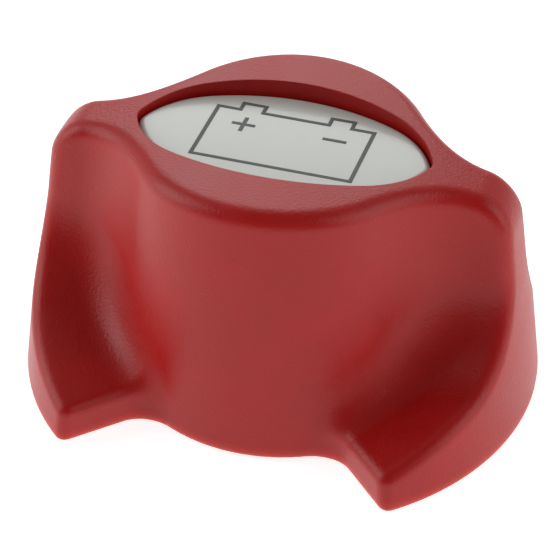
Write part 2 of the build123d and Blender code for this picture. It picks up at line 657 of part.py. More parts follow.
with BuildPart() as cover_screws:
    with BuildSketch(Plane.XY.offset(COVER_BACK + COVER_HEAD_SUNK)):
        with GridLocations(2 * COVER_SCREW_AT, 2 * COVER_SCREW_AT, 2, 2):
            Circle(COVER_HEAD_R)
    extrude(amount=COVER_HEAD_H)
    with BuildSketch(Plane.XY.offset(COVER_BACK + COVER_HEAD_SUNK + COVER_HEAD_H)):
        with GridLocations(2 * COVER_SCREW_AT, 2 * COVER_SCREW_AT, 2, 2):
            Circle(COVER_SCREW_R)
    extrude(amount=COVER_SCREW_L - COVER_HEAD_H)
    with BuildSketch(Plane.XY.offset(COVER_BACK + COVER_HEAD_SUNK)):
        with GridLocations(2 * COVER_SCREW_AT, 2 * COVER_SCREW_AT, 2, 2):
            Rectangle(CROSS_L, CROSS_W)
            Rectangle(CROSS_W, CROSS_L)
    extrude(amount=CROSS_DEPTH, mode=Mode.SUBTRACT)
save(cover_screws.part, "cover_screws")

# ---------------------------------------------------------------- studs and their fasteners
for side, sign in SIDES.items():
    at = (sign * STUD_AT, 0)
    with BuildPart() as stud:
        with BuildSketch(Plane.XY.offset(HEAD_SEAT)):
            with Locations(at):
                RectangleRounded(STUD_HEAD_SIDE, STUD_HEAD_SIDE, STUD_HEAD_CORNER_R)
        extrude(amount=STUD_HEAD_T)
        for radius, low, high in ((SHOULDER_R, COVER_BACK, HEAD_SEAT), (STUD_R, NUT_END, COVER_BACK),
                                  (STUD_END_R, NUT_END - STUD_END_L, NUT_END)):
            with BuildSketch(Plane.XY.offset(low)):
                with Locations(at):
                    Circle(radius)
            extrude(amount=high - low)
        chamfer(faces().sort_by(Axis.Z)[0].edges(), STUD_CHAMFER)
    save(stud.part, f"{side}_stud")

    with BuildPart() as washer:
        with BuildSketch(Plane.XY.offset(COVER_BACK - WASHER_T)):
            with Locations(at):
                Circle(WASHER_R)
                Circle(STUD_R + WASHER_BORE_GAP, mode=Mode.SUBTRACT)
        extrude(amount=WASHER_T)
    save(washer.part, f"{side}_washer")

    with BuildPart() as spring_washer:
        with BuildSketch(Plane.XY.offset(NUT_TOP)):
            with Locations(at):
                Circle(SPRING_WASHER_R)
                Circle(STUD_R + SPRING_WASHER_GAP, mode=Mode.SUBTRACT)
            with Locations((at[0], (STUD_R + SPRING_WASHER_R) / 2)):
                Rectangle(SPRING_WASHER_SLIT, STUD_R, rotation=SPRING_WASHER_SLANT, mode=Mode.SUBTRACT)
        extrude(amount=SPRING_WASHER_T)
    save(spring_washer.part, f"{side}_spring_washer")

    with BuildPart() as nut:
        with BuildSketch(Plane.XY.offset(NUT_END)):
            with Locations(at):
                RegularPolygon(NUT_AF / 2, 6, major_radius=False)
                Circle(STUD_R, mode=Mode.SUBTRACT)
        extrude(amount=NUT_H)
    save(nut.part, f"{side}_nut")

with BuildPart() as stud_seals:
    with BuildSketch(Plane.XY.offset(COVER_BACK)):
        with GridLocations(2 * STUD_AT, 0, 2, 1):
            Circle(STUD_SEAL_R)
            Circle(SHOULDER_R, mode=Mode.SUBTRACT)
    extrude(amount=STUD_SEAL_T)
save(stud_seals.part, "stud_seals")
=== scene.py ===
"""The looks of a battery switch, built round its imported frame.

The knob is a moulded red shell over a round drum and two wings, with a grey legend let into its top.
Behind the panel stand the black housing, its rear cover and the two threaded studs with their nuts.
Sizes in the classes are in millimetres, in the part's own frame: +Z out of the panel, wings along X.
"""

import logging
import math
from collections.abc import Callable, Sequence
from dataclasses import dataclass
from enum import Enum

import bmesh
import bpy
import numpy as np
from mathutils import Matrix, Vector

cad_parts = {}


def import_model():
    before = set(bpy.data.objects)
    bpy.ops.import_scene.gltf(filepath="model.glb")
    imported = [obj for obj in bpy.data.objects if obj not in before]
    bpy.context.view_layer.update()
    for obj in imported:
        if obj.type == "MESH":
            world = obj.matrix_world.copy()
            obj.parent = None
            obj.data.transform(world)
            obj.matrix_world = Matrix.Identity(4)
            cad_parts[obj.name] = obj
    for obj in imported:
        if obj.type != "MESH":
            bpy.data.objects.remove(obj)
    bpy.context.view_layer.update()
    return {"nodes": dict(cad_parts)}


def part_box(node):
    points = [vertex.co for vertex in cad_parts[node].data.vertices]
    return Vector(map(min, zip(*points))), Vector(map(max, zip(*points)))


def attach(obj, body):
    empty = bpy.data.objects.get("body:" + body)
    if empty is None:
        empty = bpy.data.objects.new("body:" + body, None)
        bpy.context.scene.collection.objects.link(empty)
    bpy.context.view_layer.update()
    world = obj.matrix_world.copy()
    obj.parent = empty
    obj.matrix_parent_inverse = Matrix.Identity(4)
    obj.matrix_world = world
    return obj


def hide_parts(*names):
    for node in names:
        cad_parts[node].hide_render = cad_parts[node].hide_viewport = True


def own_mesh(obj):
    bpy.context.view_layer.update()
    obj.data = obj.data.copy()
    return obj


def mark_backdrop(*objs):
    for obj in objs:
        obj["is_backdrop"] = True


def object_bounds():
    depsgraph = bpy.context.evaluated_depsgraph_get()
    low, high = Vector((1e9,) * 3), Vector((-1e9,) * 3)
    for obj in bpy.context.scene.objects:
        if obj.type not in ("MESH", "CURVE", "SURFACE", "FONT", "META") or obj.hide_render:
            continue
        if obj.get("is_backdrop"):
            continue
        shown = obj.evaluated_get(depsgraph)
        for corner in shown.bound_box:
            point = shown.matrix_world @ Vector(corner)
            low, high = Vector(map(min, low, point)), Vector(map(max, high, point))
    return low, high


LOG = logging.getLogger("battery_switch")
MM = 0.001
AROUND = 96  # segments round a turned piece, where nothing else is said
Array = np.ndarray
Socket = bpy.types.NodeSocket
Node = bpy.types.Node
Object = bpy.types.Object
Material = bpy.types.Material
Point = tuple[float, float]
Colour = tuple[float, float, float]
Faces = list[tuple[int, ...]]


class Body(str, Enum):
    """The bodies of the switch that move against each other."""

    HOUSING = "housing"
    ROTOR = "rotor"
    CARRIER = "carrier"
    KNOB = "knob"


# ------------------------------------------------------------------ meshes


def new_piece(name: str, points: Array, faces: Sequence[Sequence[int]], smooth: bool = True) -> Object:
    """Makes a mesh object at the origin.

    Args:
        name: The piece's name.
        points: Its vertices in millimetres.
        faces: Corner indices of each face, counter-clockwise from outside.
        smooth: Whether its faces are shaded smooth.

    Returns:
        The new object, linked to the scene.
    """
    mesh = bpy.data.meshes.new(name)
    mesh.from_pydata((np.asarray(points) * MM).tolist(), [], [list(f) for f in faces])
    mesh.polygons.foreach_set("use_smooth", [smooth] * len(mesh.polygons))
    mesh.update()
    piece = bpy.data.objects.new(name, mesh)
    bpy.context.scene.collection.objects.link(piece)
    return piece


def outward(piece: Object) -> Object:
    """Merges a closed piece's doubles and turns all its faces outwards."""
    shape = bmesh.new()
    shape.from_mesh(piece.data)
    bmesh.ops.remove_doubles(shape, verts=shape.verts, dist=1e-7)
    bmesh.ops.recalc_face_normals(shape, faces=shape.faces)
    shape.to_mesh(piece.data)
    shape.free()
    return piece


def joined(name: str, *pieces: Object) -> Object:
    """Puts several closed meshes into one piece.

    Args:
        name: The new piece's name.
        pieces: The meshes, which are used up.

    Returns:
        The one piece, with the first mesh's materials.
    """
    whole = pieces[0]
    shape = bmesh.new()
    for piece in pieces:
        shape.from_mesh(piece.data)
    shape.to_mesh(whole.data)
    shape.free()
    for piece in pieces[1:]:
        bpy.data.objects.remove(piece)
    whole.name = whole.data.name = name
    return whole


def carved(piece: Object, cutter: Object) -> Object:
    """Cuts one closed mesh out of another and uses the cutter up."""
    modifier = piece.modifiers.new("carve", "BOOLEAN")
    modifier.operation, modifier.solver, modifier.object = "DIFFERENCE", "EXACT", cutter
    mesh = bpy.data.meshes.new_from_object(piece.evaluated_get(bpy.context.evaluated_depsgraph_get()))
    piece.modifiers.clear()
    piece.data = mesh
    bpy.data.objects.remove(cutter)
    return piece


def creased(piece: Object, degrees: float = 35.0) -> Object:
    """Shades a piece smooth, with its sharp edges kept sharp."""
    piece.data.polygons.foreach_set("use_smooth", [True] * len(piece.data.polygons))
    piece.data.set_sharp_from_angle(angle=math.radians(degrees))
    return piece


def ring_faces(rows: int, around: int, closed: bool = False) -> Faces:
    """Quads that join rows of a tube.

    Args:
        rows: Number of rings of vertices.
        around: Vertices in each ring.
        closed: Whether the last ring joins the first.

    Returns:
        The faces, outwards if the rings climb along +Z at the outside.
    """
    quads = []
    for row in range(rows if closed else rows - 1):
        above = (row + 1) % rows
        for i in range(around):
            j = (i + 1) % around
            quads.append((row * around + i, row * around + j, above * around + j, above * around + i))
    return quads


def lathe(profile: Sequence[Point], around: int = AROUND,
          radius_at: Callable[[float, Array], Array] | None = None) -> tuple[Array, Faces]:
    """Turns a closed profile about the Z axis.

    Args:
        profile: Radius and height of each corner, counter-clockwise with the radius to the right.
        around: Segments round the axis.
        radius_at: Gives the radii round the axis for one profile radius, where they aren't all alike.

    Returns:
        Vertices and faces.
    """
    turn = np.arange(around) * 2 * math.pi / around
    rows = []
    for radius, height in profile:
        radii = radius_at(radius, turn) if radius_at else np.full(around, radius)
        rows.append(np.c_[radii * np.cos(turn), radii * np.sin(turn), np.full(around, height)])
    return np.vstack(rows), ring_faces(len(profile), around, closed=True)


def stack(levels: Sequence[tuple[Array, float]]) -> tuple[Array, Faces]:
    """A closed solid through outlines that have the same number of points.

    Args:
        levels: Each outline, counter-clockwise, with its height, from the lowest up.

    Returns:
        Vertices and faces.
    """
    around = len(levels[0][0])
    rows = [np.c_[outline, np.full(around, height)] for outline, height in levels]
    last = (len(levels) - 1) * around
    caps = [tuple(reversed(range(around))), tuple(range(last, last + around))]
    return np.vstack(rows), ring_faces(len(levels), around) + caps


def circle(radius: float, around: int = AROUND) -> Array:
    """Points on a circle about the origin."""
    turn = np.arange(around) * 2 * math.pi / around
    return radius * np.c_[np.cos(turn), np.sin(turn)]


def soft_square(side: float, corner: float, around: int = AROUND) -> Array:
    """Points on a square with round corners, evenly turned about the origin."""
    flat = side / 2 - corner
    far = circle(2 * side, around)
    middle = np.clip(far, -flat, flat)
    over = far - middle
    return middle + corner * over / np.linalg.norm(over, axis=1, keepdims=True)


def rounded(corners: Sequence[Point], radius: float, steps: int = 4) -> list[Point]:
    """Rounds every corner of a closed outline.

    Args:
        corners: The outline's corners.
        radius: Fillet radius, cut down where a side is short.
        steps: Points on each fillet, less one.

    Returns:
        The rounded outline.
    """
    made = []
    count = len(corners)
    least_slope, most_of_side = 0.2, 0.45
    for i in range(count):
        corner = Vector(corners[i])
        back, ahead = Vector(corners[i - 1]) - corner, Vector(corners[(i + 1) % count]) - corner
        reach = min(radius / max(math.tan(back.angle(ahead) / 2), least_slope),
                    most_of_side * back.length, most_of_side * ahead.length)
        start, end = corner + back.normalized() * reach, corner + ahead.normalized() * reach
        for step in range(steps + 1):
            t = step / steps
            made.append(tuple(start * (1 - t) ** 2 + corner * 2 * t * (1 - t) + end * t ** 2))
    return made


# ------------------------------------------------------------------ geometry nodes


class Recipe:
    """A Geometry Nodes tree that is written as nested calls."""

    def __init__(self, name: str, **sizes: float | int | type) -> None:
        """Starts the tree.

        Args:
            name: The tree's name.
            sizes: Named inputs with their usual values, or a Blender type for an object input.
        """
        self.tree = bpy.data.node_groups.new(name, "GeometryNodeTree")
        kinds = {int: "NodeSocketInt", float: "NodeSocketFloat"}
        for label, usual in sizes.items():
            kind = "NodeSocketObject" if usual is Object else kinds[type(usual)]
            socket = self.tree.interface.new_socket(label, in_out="INPUT", socket_type=kind)
            if kind != "NodeSocketObject":
                socket.default_value = usual
        self.tree.interface.new_socket("Finish", in_out="INPUT", socket_type="NodeSocketMaterial")
        self.tree.interface.new_socket("Geometry", in_out="OUTPUT", socket_type="NodeSocketGeometry")
        self.entry = self.tree.nodes.new("NodeGroupInput")

    def __getitem__(self, label: str) -> Socket:
        """The socket that carries a named input."""
        return self.entry.outputs[label]

    def node(self, kind: str, *links: object, **settings: object) -> Node:
        """Adds a node.

        Args:
            kind: Blender's name of the node.
            links: Values or sockets for its inputs in order, with None to leave one alone.
            settings: The node's own settings.

        Returns:
            The new node.
        """
        made = self.tree.nodes.new(kind)
        for key, value in settings.items():
            setattr(made, key, value)
        for socket, value in zip(made.inputs, links):
            if isinstance(value, Socket):
                self.tree.links.new(value, socket)
            elif value is not None:
                socket.default_value = value
        return made

    def maths(self, operation: str, *values: object) -> Socket:
        """The result of a Math node."""
        return self.node("ShaderNodeMath", *values, operation=operation).outputs[0]

    def end(self, geometry: Socket) -> None:
        """Closes the tree: plain mesh, smooth, in its finish."""
        real = self.node("GeometryNodeRealizeInstances", geometry).outputs[0]
        smooth = self.node("GeometryNodeSetShadeSmooth", real).outputs[0]
        dressed = self.node("GeometryNodeSetMaterial", smooth)
        self.tree.links.new(self["Finish"], dressed.inputs["Material"])
        self.node("NodeGroupOutput", dressed.outputs[0])

    def grow(self, name: str, finish: Material, **values: object) -> Object:
        """Runs the tree once and keeps its result as a plain mesh.

        Args:
            name: The piece's name.
            finish: Its material.
            values: The named inputs.

        Returns:
            A mesh object without modifiers.
        """
        seed = bpy.data.objects.new(f"{name}_seed", bpy.data.meshes.new(f"{name}_seed"))
        bpy.context.scene.collection.objects.link(seed)
        modifier = seed.modifiers.new("grow", "NODES")
        modifier.node_group = self.tree
        named = {item.name: item.identifier for item in self.tree.interface.items_tree
                 if item.item_type == "SOCKET" and item.in_out == "INPUT"}
        for label, value in {**values, "Finish": finish}.items():
            modifier[named[label]] = value
        graph = bpy.context.evaluated_depsgraph_get()
        mesh = bpy.data.meshes.new_from_object(seed.evaluated_get(graph))
        mesh.name = name
        bpy.data.objects.remove(seed)
        piece = bpy.data.objects.new(name, mesh)
        bpy.context.scene.collection.objects.link(piece)
        return piece


def thread_recipe() -> Recipe:
    """An outside screw thread with its two ends closed, standing on the origin's plane in metres."""
    made = Recipe("screw_thread", Radius=0.005, Depth=0.0008, Pitch=0.0015, Length=0.02, Lead=0.0008,
                  Around=48, Rows=160)
    grid = made.node("GeometryNodeMeshGrid", 1.0, 1.0, None, made["Rows"])
    made.tree.links.new(made.maths("ADD", made["Around"], 1), grid.inputs["Vertices X"])
    spot = made.node("ShaderNodeSeparateXYZ", made.node("GeometryNodeInputPosition").outputs[0]).outputs
    turn = made.maths("MULTIPLY", spot["X"], 2 * math.pi)
    height = made.maths("MULTIPLY", made.maths("ADD", spot["Y"], 0.5), made["Length"])
    turns = made.maths("SUBTRACT", made.maths("DIVIDE", height, made["Pitch"]), spot["X"])
    phase = made.maths("FRACT", turns)
    flank = made.maths("MULTIPLY", made.maths("ABSOLUTE", made.maths("SUBTRACT", phase, 0.5)), 2.0)
    ridge = made.node("ShaderNodeMapRange", flank, 0.12, 0.88, 0.0, 1.0).outputs[0]
    from_end = made.maths("MINIMUM", height, made.maths("SUBTRACT", made["Length"], height))
    lead = made.maths("MAXIMUM", made.maths("SUBTRACT", made["Lead"], from_end), 0.0)
    cut = made.maths("MAXIMUM", made.maths("MULTIPLY", ridge, made["Depth"]), lead)
    radius = made.maths("SUBTRACT", made["Radius"], cut)
    place = made.node("ShaderNodeCombineXYZ", made.maths("MULTIPLY", made.maths("COSINE", turn), radius),
                      made.maths("MULTIPLY", made.maths("SINE", turn), radius), height).outputs[0]
    tube = made.node("GeometryNodeSetPosition", grid.outputs["Mesh"], None, place).outputs[0]
    end_radius = made.maths("SUBTRACT", made["Radius"], made.maths("MAXIMUM", made["Lead"], made["Depth"]))
    cap = made.node("GeometryNodeMeshCircle", made["Around"], end_radius, fill_type="TRIANGLE_FAN").outputs[0]
    lift = made.node("ShaderNodeCombineXYZ", 0.0, 0.0, made["Length"]).outputs[0]
    top = made.node("GeometryNodeTransform", cap, lift).outputs[0]
    bottom = made.node("GeometryNodeFlipFaces", cap).outputs[0]
    join = made.node("GeometryNodeJoinGeometry")
    for part in (tube, top, bottom):
        made.tree.links.new(part, join.inputs[0])
    made.end(made.node("GeometryNodeMergeByDistance", join.outputs[0], None, 1e-6).outputs[0])
    return made


def spring_recipe() -> Recipe:
    """A round wire wound into a compression spring, standing on the origin's plane in metres."""
    made = Recipe("wound_spring", Radius=0.005, Wire=0.0005, Height=0.01, Turns=4.0, Steps=48)
    radius = made["Radius"]
    path = made.node("GeometryNodeCurveSpiral", made["Steps"], made["Turns"], radius, radius,
                     made["Height"]).outputs[0]
    wire = made.node("GeometryNodeCurvePrimitiveCircle", 14, mode="RADIUS")
    made.tree.links.new(made["Wire"], wire.inputs["Radius"])
    tube = made.node("GeometryNodeCurveToMesh")
    made.tree.links.new(path, tube.inputs["Curve"])
    made.tree.links.new(wire.outputs[0], tube.inputs["Profile Curve"])
    tube.inputs["Fill Caps"].default_value = True
    made.end(tube.outputs[0])
    return made


def square_recipe() -> Recipe:
    """Four copies of one piece, on the corners of a square about the axis."""
    made = Recipe("set_of_four", Piece=Object, Side=0.04)
    corners = made.node("GeometryNodeMeshGrid", made["Side"], made["Side"], 2, 2).outputs["Mesh"]
    piece = made.node("GeometryNodeObjectInfo", made["Piece"]).outputs["Geometry"]
    made.end(made.node("GeometryNodeInstanceOnPoints", corners, None, piece).outputs[0])
    return made


# ------------------------------------------------------------------ finishes


class Shader:
    """A material's nodes, written as nested calls."""

    def __init__(self, tree: bpy.types.NodeTree) -> None:
        """Works on one tree.

        Args:
            tree: A material's or a group's node tree.
        """
        self.tree = tree

    def node(self, kind: str, inputs: dict[str, object] | None = None, **settings: object) -> Node:
        """Adds a node.

        Args:
            kind: Blender's name of the node.
            inputs: Values or sockets by the input's name or identifier.
            settings: The node's own settings.

        Returns:
            The new node.
        """
        made = self.tree.nodes.new(kind)
        for key, value in settings.items():
            setattr(made, key, value)
        known = {s.name: s for s in reversed(made.inputs)} | {s.identifier: s for s in made.inputs}
        for key, value in (inputs or {}).items():
            if isinstance(value, Socket):
                self.tree.links.new(value, known[key])
            else:
                known[key].default_value = value
        return made

    def maths(self, operation: str, a: object, b: object = 0.0) -> Socket:
        """The result of a Math node."""
        made = self.tree.nodes.new("ShaderNodeMath")
        made.operation = operation
        for socket, value in zip(made.inputs, (a, b)):
            if isinstance(value, Socket):
                self.tree.links.new(value, socket)
            else:
                socket.default_value = value
        return made.outputs[0]

    def spread(self, value: Socket, low: float, high: float, to_low: float = 0.0,
               to_high: float = 1.0) -> Socket:
        """A value stretched from one range to another and held within it."""
        return self.node("ShaderNodeMapRange", {"Value": value, "From Min": low, "From Max": high,
                                                "To Min": to_low, "To Max": to_high}).outputs[0]

    def blend(self, factor: object, a: object, b: object) -> Socket:
        """One colour mixed into another."""
        inputs = {"Factor_Float": factor, "A_Color": a, "B_Color": b}
        return self.node("ShaderNodeMix", inputs, data_type="RGBA").outputs[2]

    def noise(self, place: Socket, size: float, detail: float = 2.0, distortion: float = 0.0) -> Socket:
        """Noise with features of a size in metres."""
        return self.node("ShaderNodeTexNoise", {"Vector": place, "Scale": 1 / size, "Detail": detail,
                                                "Distortion": distortion}).outputs["Fac"]


def group(name: str, inputs: dict[str, float], outputs: dict[str, str],
          build: Callable[[Shader, Node], dict[str, Socket]]) -> bpy.types.NodeTree:
    """Builds a shared effect as a shader node group.

    Args:
        name: The group's name.
        inputs: Its number inputs with their usual values.
        outputs: Its outputs, each with a socket type.
        build: Makes the inside from the group's input node and gives the output sockets by name.

    Returns:
        The group's tree.
    """
    tree = bpy.data.node_groups.new(name, "ShaderNodeTree")
    for label, usual in inputs.items():
        tree.interface.new_socket(label, in_out="INPUT", socket_type="NodeSocketFloat").default_value = usual
    for label, kind in outputs.items():
        tree.interface.new_socket(label, in_out="OUTPUT", socket_type=kind)
    shader = Shader(tree)
    made = build(shader, tree.nodes.new("NodeGroupInput"))
    end = tree.nodes.new("NodeGroupOutput")
    for label, socket in made.items():
        tree.links.new(socket, end.inputs[label])
    return tree


class Effects:
    """The effects that several finishes share, each a node group."""

    gloss_patch = 0.009
    tarnish_patch = 0.004
    ring_stretch = 0.04

    def __init__(self) -> None:
        """Builds every group once."""
        value, normal = "NodeSocketFloat", "NodeSocketVector"
        self.grain = group("moulded_grain", {"Size": 0.0003, "Depth": 0.000004},
                           {"Height": value, "Patch": value}, self._grain)
        self.edges = group("eased_edges", {"Radius": 0.0004}, {"Normal": normal, "Mask": value}, self._edges)
        self.turned = group("turning_marks", {"Size": 0.0001, "Depth": 0.000002},
                            {"Height": value, "Streak": value}, self._turned)

    @staticmethod
    def _place(shader: Shader) -> Socket:
        """Object coordinates."""
        return shader.node("ShaderNodeTexCoord").outputs["Object"]

    def _grain(self, shader: Shader, entry: Node) -> dict[str, Socket]:
        """Fine spark-eroded texture of a mould, with slow patches of gloss."""
        place = self._place(shader)
        scale = shader.maths("DIVIDE", 1.0, entry.outputs["Size"])
        fine = shader.node("ShaderNodeTexNoise", {"Vector": place, "Scale": scale, "Detail": 3.0})
        slow = shader.noise(place, self.gloss_patch, 3.0, 0.4)
        height = shader.maths("MULTIPLY", fine.outputs["Fac"], entry.outputs["Depth"])
        return {"Height": height, "Patch": slow}

    def _edges(self, shader: Shader, entry: Node) -> dict[str, Socket]:
        """Eased edges, and a mask that is 1 along them."""
        eased = shader.node("ShaderNodeBevel", {"Radius": entry.outputs["Radius"]}, samples=6).outputs[0]
        sharp = shader.node("ShaderNodeNewGeometry").outputs["Normal"]
        match = shader.node("ShaderNodeVectorMath", {"Vector": eased}, operation="DOT_PRODUCT")
        shader.tree.links.new(sharp, match.inputs[1])
        return {"Normal": eased, "Mask": shader.spread(match.outputs["Value"], 0.995, 0.85)}

    def _turned(self, shader: Shader, entry: Node) -> dict[str, Socket]:
        """Fine rings round an upright axis, as a lathe leaves them."""
        spot = shader.node("ShaderNodeSeparateXYZ", {"Vector": self._place(shader)}).outputs
        flat_x, flat_y = (shader.maths("MULTIPLY", spot[axis], self.ring_stretch) for axis in "XY")
        squeezed = shader.node("ShaderNodeCombineXYZ", {"X": flat_x, "Y": flat_y, "Z": spot["Z"]}).outputs[0]
        scale = shader.maths("DIVIDE", 1.0, entry.outputs["Size"])
        lines = shader.node("ShaderNodeTexNoise", {"Vector": squeezed, "Scale": scale, "Detail": 2.0})
        return {"Height": shader.maths("MULTIPLY", lines.outputs["Fac"], entry.outputs["Depth"]),
                "Streak": shader.noise(self._place(shader), self.tarnish_patch, 4.0, 0.6)}


class Surface:
    """A material under way, with its fine marks and its eased edges."""

    def __init__(self, slot: str, marks: bpy.types.NodeTree, effects: Effects,
                 size: float, depth: float, edge: float) -> None:
        """Starts the material.

        Args:
            slot: The record's slot that it is named after.
            marks: The shared effect that gives its marks.
            effects: All the shared effects.
            size: Size of the marks in metres.
            depth: Depth of the marks in metres.
            edge: Radius of its eased edges in metres.
        """
        self.material = bpy.data.materials.new(slot)
        self.material.use_nodes = True
        self.shader = Shader(self.material.node_tree)
        self.principled = self.material.node_tree.nodes["Principled BSDF"]
        self.marks = self.shader.node("ShaderNodeGroup", {"Size": size, "Depth": depth}, node_tree=marks)
        self.edges = self.shader.node("ShaderNodeGroup", {"Radius": edge}, node_tree=effects.edges)

    def finish(self, base: Socket, pattern: Socket, roughness: Point, **values: object) -> Material:
        """Joins everything to the material's shader.

        Args:
            base: Its colour.
            pattern: What its roughness follows.
            roughness: Its least and greatest roughness.
            values: Other inputs of the shader, with _ for a space.

        Returns:
            The material.
        """
        bump = self.shader.node("ShaderNodeBump", {"Strength": 1.0, "Distance": 1.0,
                                                   "Height": self.marks.outputs["Height"],
                                                   "Normal": self.edges.outputs["Normal"]})
        rough = self.shader.spread(pattern, 0.3, 0.7, *roughness)
        for label, socket in (("Base Color", base), ("Roughness", rough), ("Normal", bump.outputs[0])):
            self.material.node_tree.links.new(socket, self.principled.inputs[label])
        for label, value in values.items():
            self.principled.inputs[label.replace("_", " ")].default_value = value
        return self.material


@dataclass(frozen=True)
class Plastic:
    """A moulded plastic or rubber, which may carry a painted glow of light from below along its low edge."""

    slot: str
    colour: Colour
    patch_colour: Colour
    worn_colour: Colour
    roughness: Point = (0.42, 0.55)
    grain: float = 0.0003
    depth: float = 0.000005
    edge: float = 0.0004
    wear: float = 0.25
    ior: float = 1.5
    subsurface: float = 0.0
    subsurface_reach: Colour = (1.0, 0.2, 0.1)
    sheen: float = 0.0
    coat: float = 0.0
    # Painted light: a brighter colour mixed in low down, standing in for light from beneath shining through
    # the rim.
    glow_colour: Colour | None = None
    glow_span: Point = (0.0, 0.001)

    def build(self, effects: Effects) -> Material:
        """Makes the material.

        Args:
            effects: The shared groups.

        Returns:
            The material, named after its slot.
        """
        surface = Surface(self.slot, effects.grain, effects, self.grain, self.depth, self.edge)
        shader, pattern = surface.shader, surface.marks.outputs["Patch"]
        patch = shader.spread(pattern, 0.35, 0.65)
        base = shader.blend(patch, (*self.colour, 1), (*self.patch_colour, 1))
        worn = shader.maths("MULTIPLY", surface.edges.outputs["Mask"], self.wear)
        base = shader.blend(worn, base, (*self.worn_colour, 1))
        # Painted light from below: the lowest band of the piece is blended towards a brighter colour, not a
        # change in the plastic itself.
        if self.glow_colour:
            place = shader.node("ShaderNodeTexCoord").outputs["Object"]
            height = shader.node("ShaderNodeSeparateXYZ", {"Vector": place}).outputs["Z"]
            painted_underglow_mask = shader.spread(height, *self.glow_span, 1.0, 0.0)
            base = shader.blend(painted_underglow_mask, base, (*self.glow_colour, 1))
        return surface.finish(base, pattern, self.roughness, IOR=self.ior, Subsurface_Weight=self.subsurface,
                              Subsurface_Radius=self.subsurface_reach, Subsurface_Scale=0.002,
                              Sheen_Weight=self.sheen, Coat_Weight=self.coat)


@dataclass(frozen=True)
class Metal:
    """A turned, plated or drawn metal."""

    slot: str
    colour: Colour
    dull_colour: Colour
    roughness: Point = (0.2, 0.42)
    marks: float = 0.00015
    depth: float = 0.000003
    edge: float = 0.00025
    shine: float = 0.5

    def build(self, effects: Effects) -> Material:
        """Makes the material.

        Args:
            effects: The shared groups.

        Returns:
            The material, named after its slot.
        """
        surface = Surface(self.slot, effects.turned, effects, self.marks, self.depth, self.edge)
        shader, pattern = surface.shader, surface.marks.outputs["Streak"]
        tarnish = shader.spread(pattern, 0.4, 0.7)
        base = shader.blend(tarnish, (*self.colour, 1), (*self.dull_colour, 1))
        bright = shader.maths("MULTIPLY", surface.edges.outputs["Mask"], self.shine)
        base = shader.blend(bright, base, (*[min(1.0, 1.25 * c) for c in self.colour], 1))
        return surface.finish(base, pattern, self.roughness, Metallic=1.0)


PLASTICS = (
    # The knob's red carries a painted underglow: a brighter orange-red along its bottom rim, standing in for
    # light from beneath.
    Plastic("knob_red", (0.40, 0.005, 0.004), (0.44, 0.007, 0.005), (0.50, 0.03, 0.02),
            roughness=(0.33, 0.40), grain=0.00034, depth=0.00006, edge=0.0003, wear=0.1, ior=1.42,
            subsurface=0.12, subsurface_reach=(1.0, 0.16, 0.05),
            glow_colour=(0.66, 0.03, 0.008), glow_span=(0.0035, 0.0054)),
    Plastic("legend_grey", (0.535, 0.56, 0.515), (0.55, 0.575, 0.53), (0.62, 0.62, 0.52),
            roughness=(0.28, 0.30), grain=0.0008, depth=0.0000012, edge=0.0002, wear=0.5, coat=0.2),
    Plastic("legend_ink", (0.028, 0.029, 0.027), (0.038, 0.040, 0.036), (0.06, 0.06, 0.055),
            roughness=(0.4, 0.5), grain=0.0002, depth=0.000002, edge=0.0001, wear=0.1),
    Plastic("acetal", (0.74, 0.73, 0.68), (0.68, 0.67, 0.61), (0.8, 0.8, 0.76),
            roughness=(0.3, 0.42), subsurface=0.2, subsurface_reach=(1.0, 0.9, 0.8)),
    Plastic("seal_rubber", (0.018, 0.018, 0.019), (0.03, 0.03, 0.03), (0.05, 0.05, 0.05),
            roughness=(0.55, 0.72), grain=0.00015, depth=0.000006, edge=0.0002, wear=0.3, sheen=0.15),
    Plastic("housing_black", (0.010, 0.010, 0.011), (0.015, 0.015, 0.016), (0.05, 0.05, 0.05),
            roughness=(0.42, 0.58), grain=0.0004, depth=0.00002, edge=0.0005, wear=0.35, ior=1.42),
)
METALS = (
    Metal("brass", (0.83, 0.60, 0.26), (0.62, 0.41, 0.17)),
    Metal("steel", (0.45, 0.45, 0.445), (0.38, 0.38, 0.385), (0.22, 0.36)),
    Metal("spring_steel", (0.42, 0.42, 0.43), (0.28, 0.28, 0.29), (0.2, 0.34)),
    Metal("copper", (0.86, 0.48, 0.32), (0.60, 0.30, 0.18), (0.28, 0.45)),
    Metal("contact_silver", (0.86, 0.85, 0.82), (0.62, 0.60, 0.56), (0.18, 0.32)),
)


# ------------------------------------------------------------------ knob


def round_union(a: Array, b: Array, radius: float | Array) -> Array:
    """Distance to the union of two solids, with a fillet in the crease between them."""
    fillet = np.hypot(np.maximum(radius - a, 0), np.maximum(radius - b, 0))
    return np.maximum(radius, np.minimum(a, b)) - fillet


def round_overlap(a: Array, b: Array, radius: float | Array) -> Array:
    """Distance to what two solids share, with the edge where they cross rounded over."""
    fillet = np.hypot(np.maximum(radius + a, 0), np.maximum(radius + b, 0))
    return np.minimum(-radius, np.maximum(a, b)) + fillet


def eased(value: Array, low: float, high: float) -> Array:
    """A value's smooth step from 0 at low to 1 at high."""
    t = np.clip((value - low) / (high - low), 0, 1)
    return t * t * (3 - 2 * t)


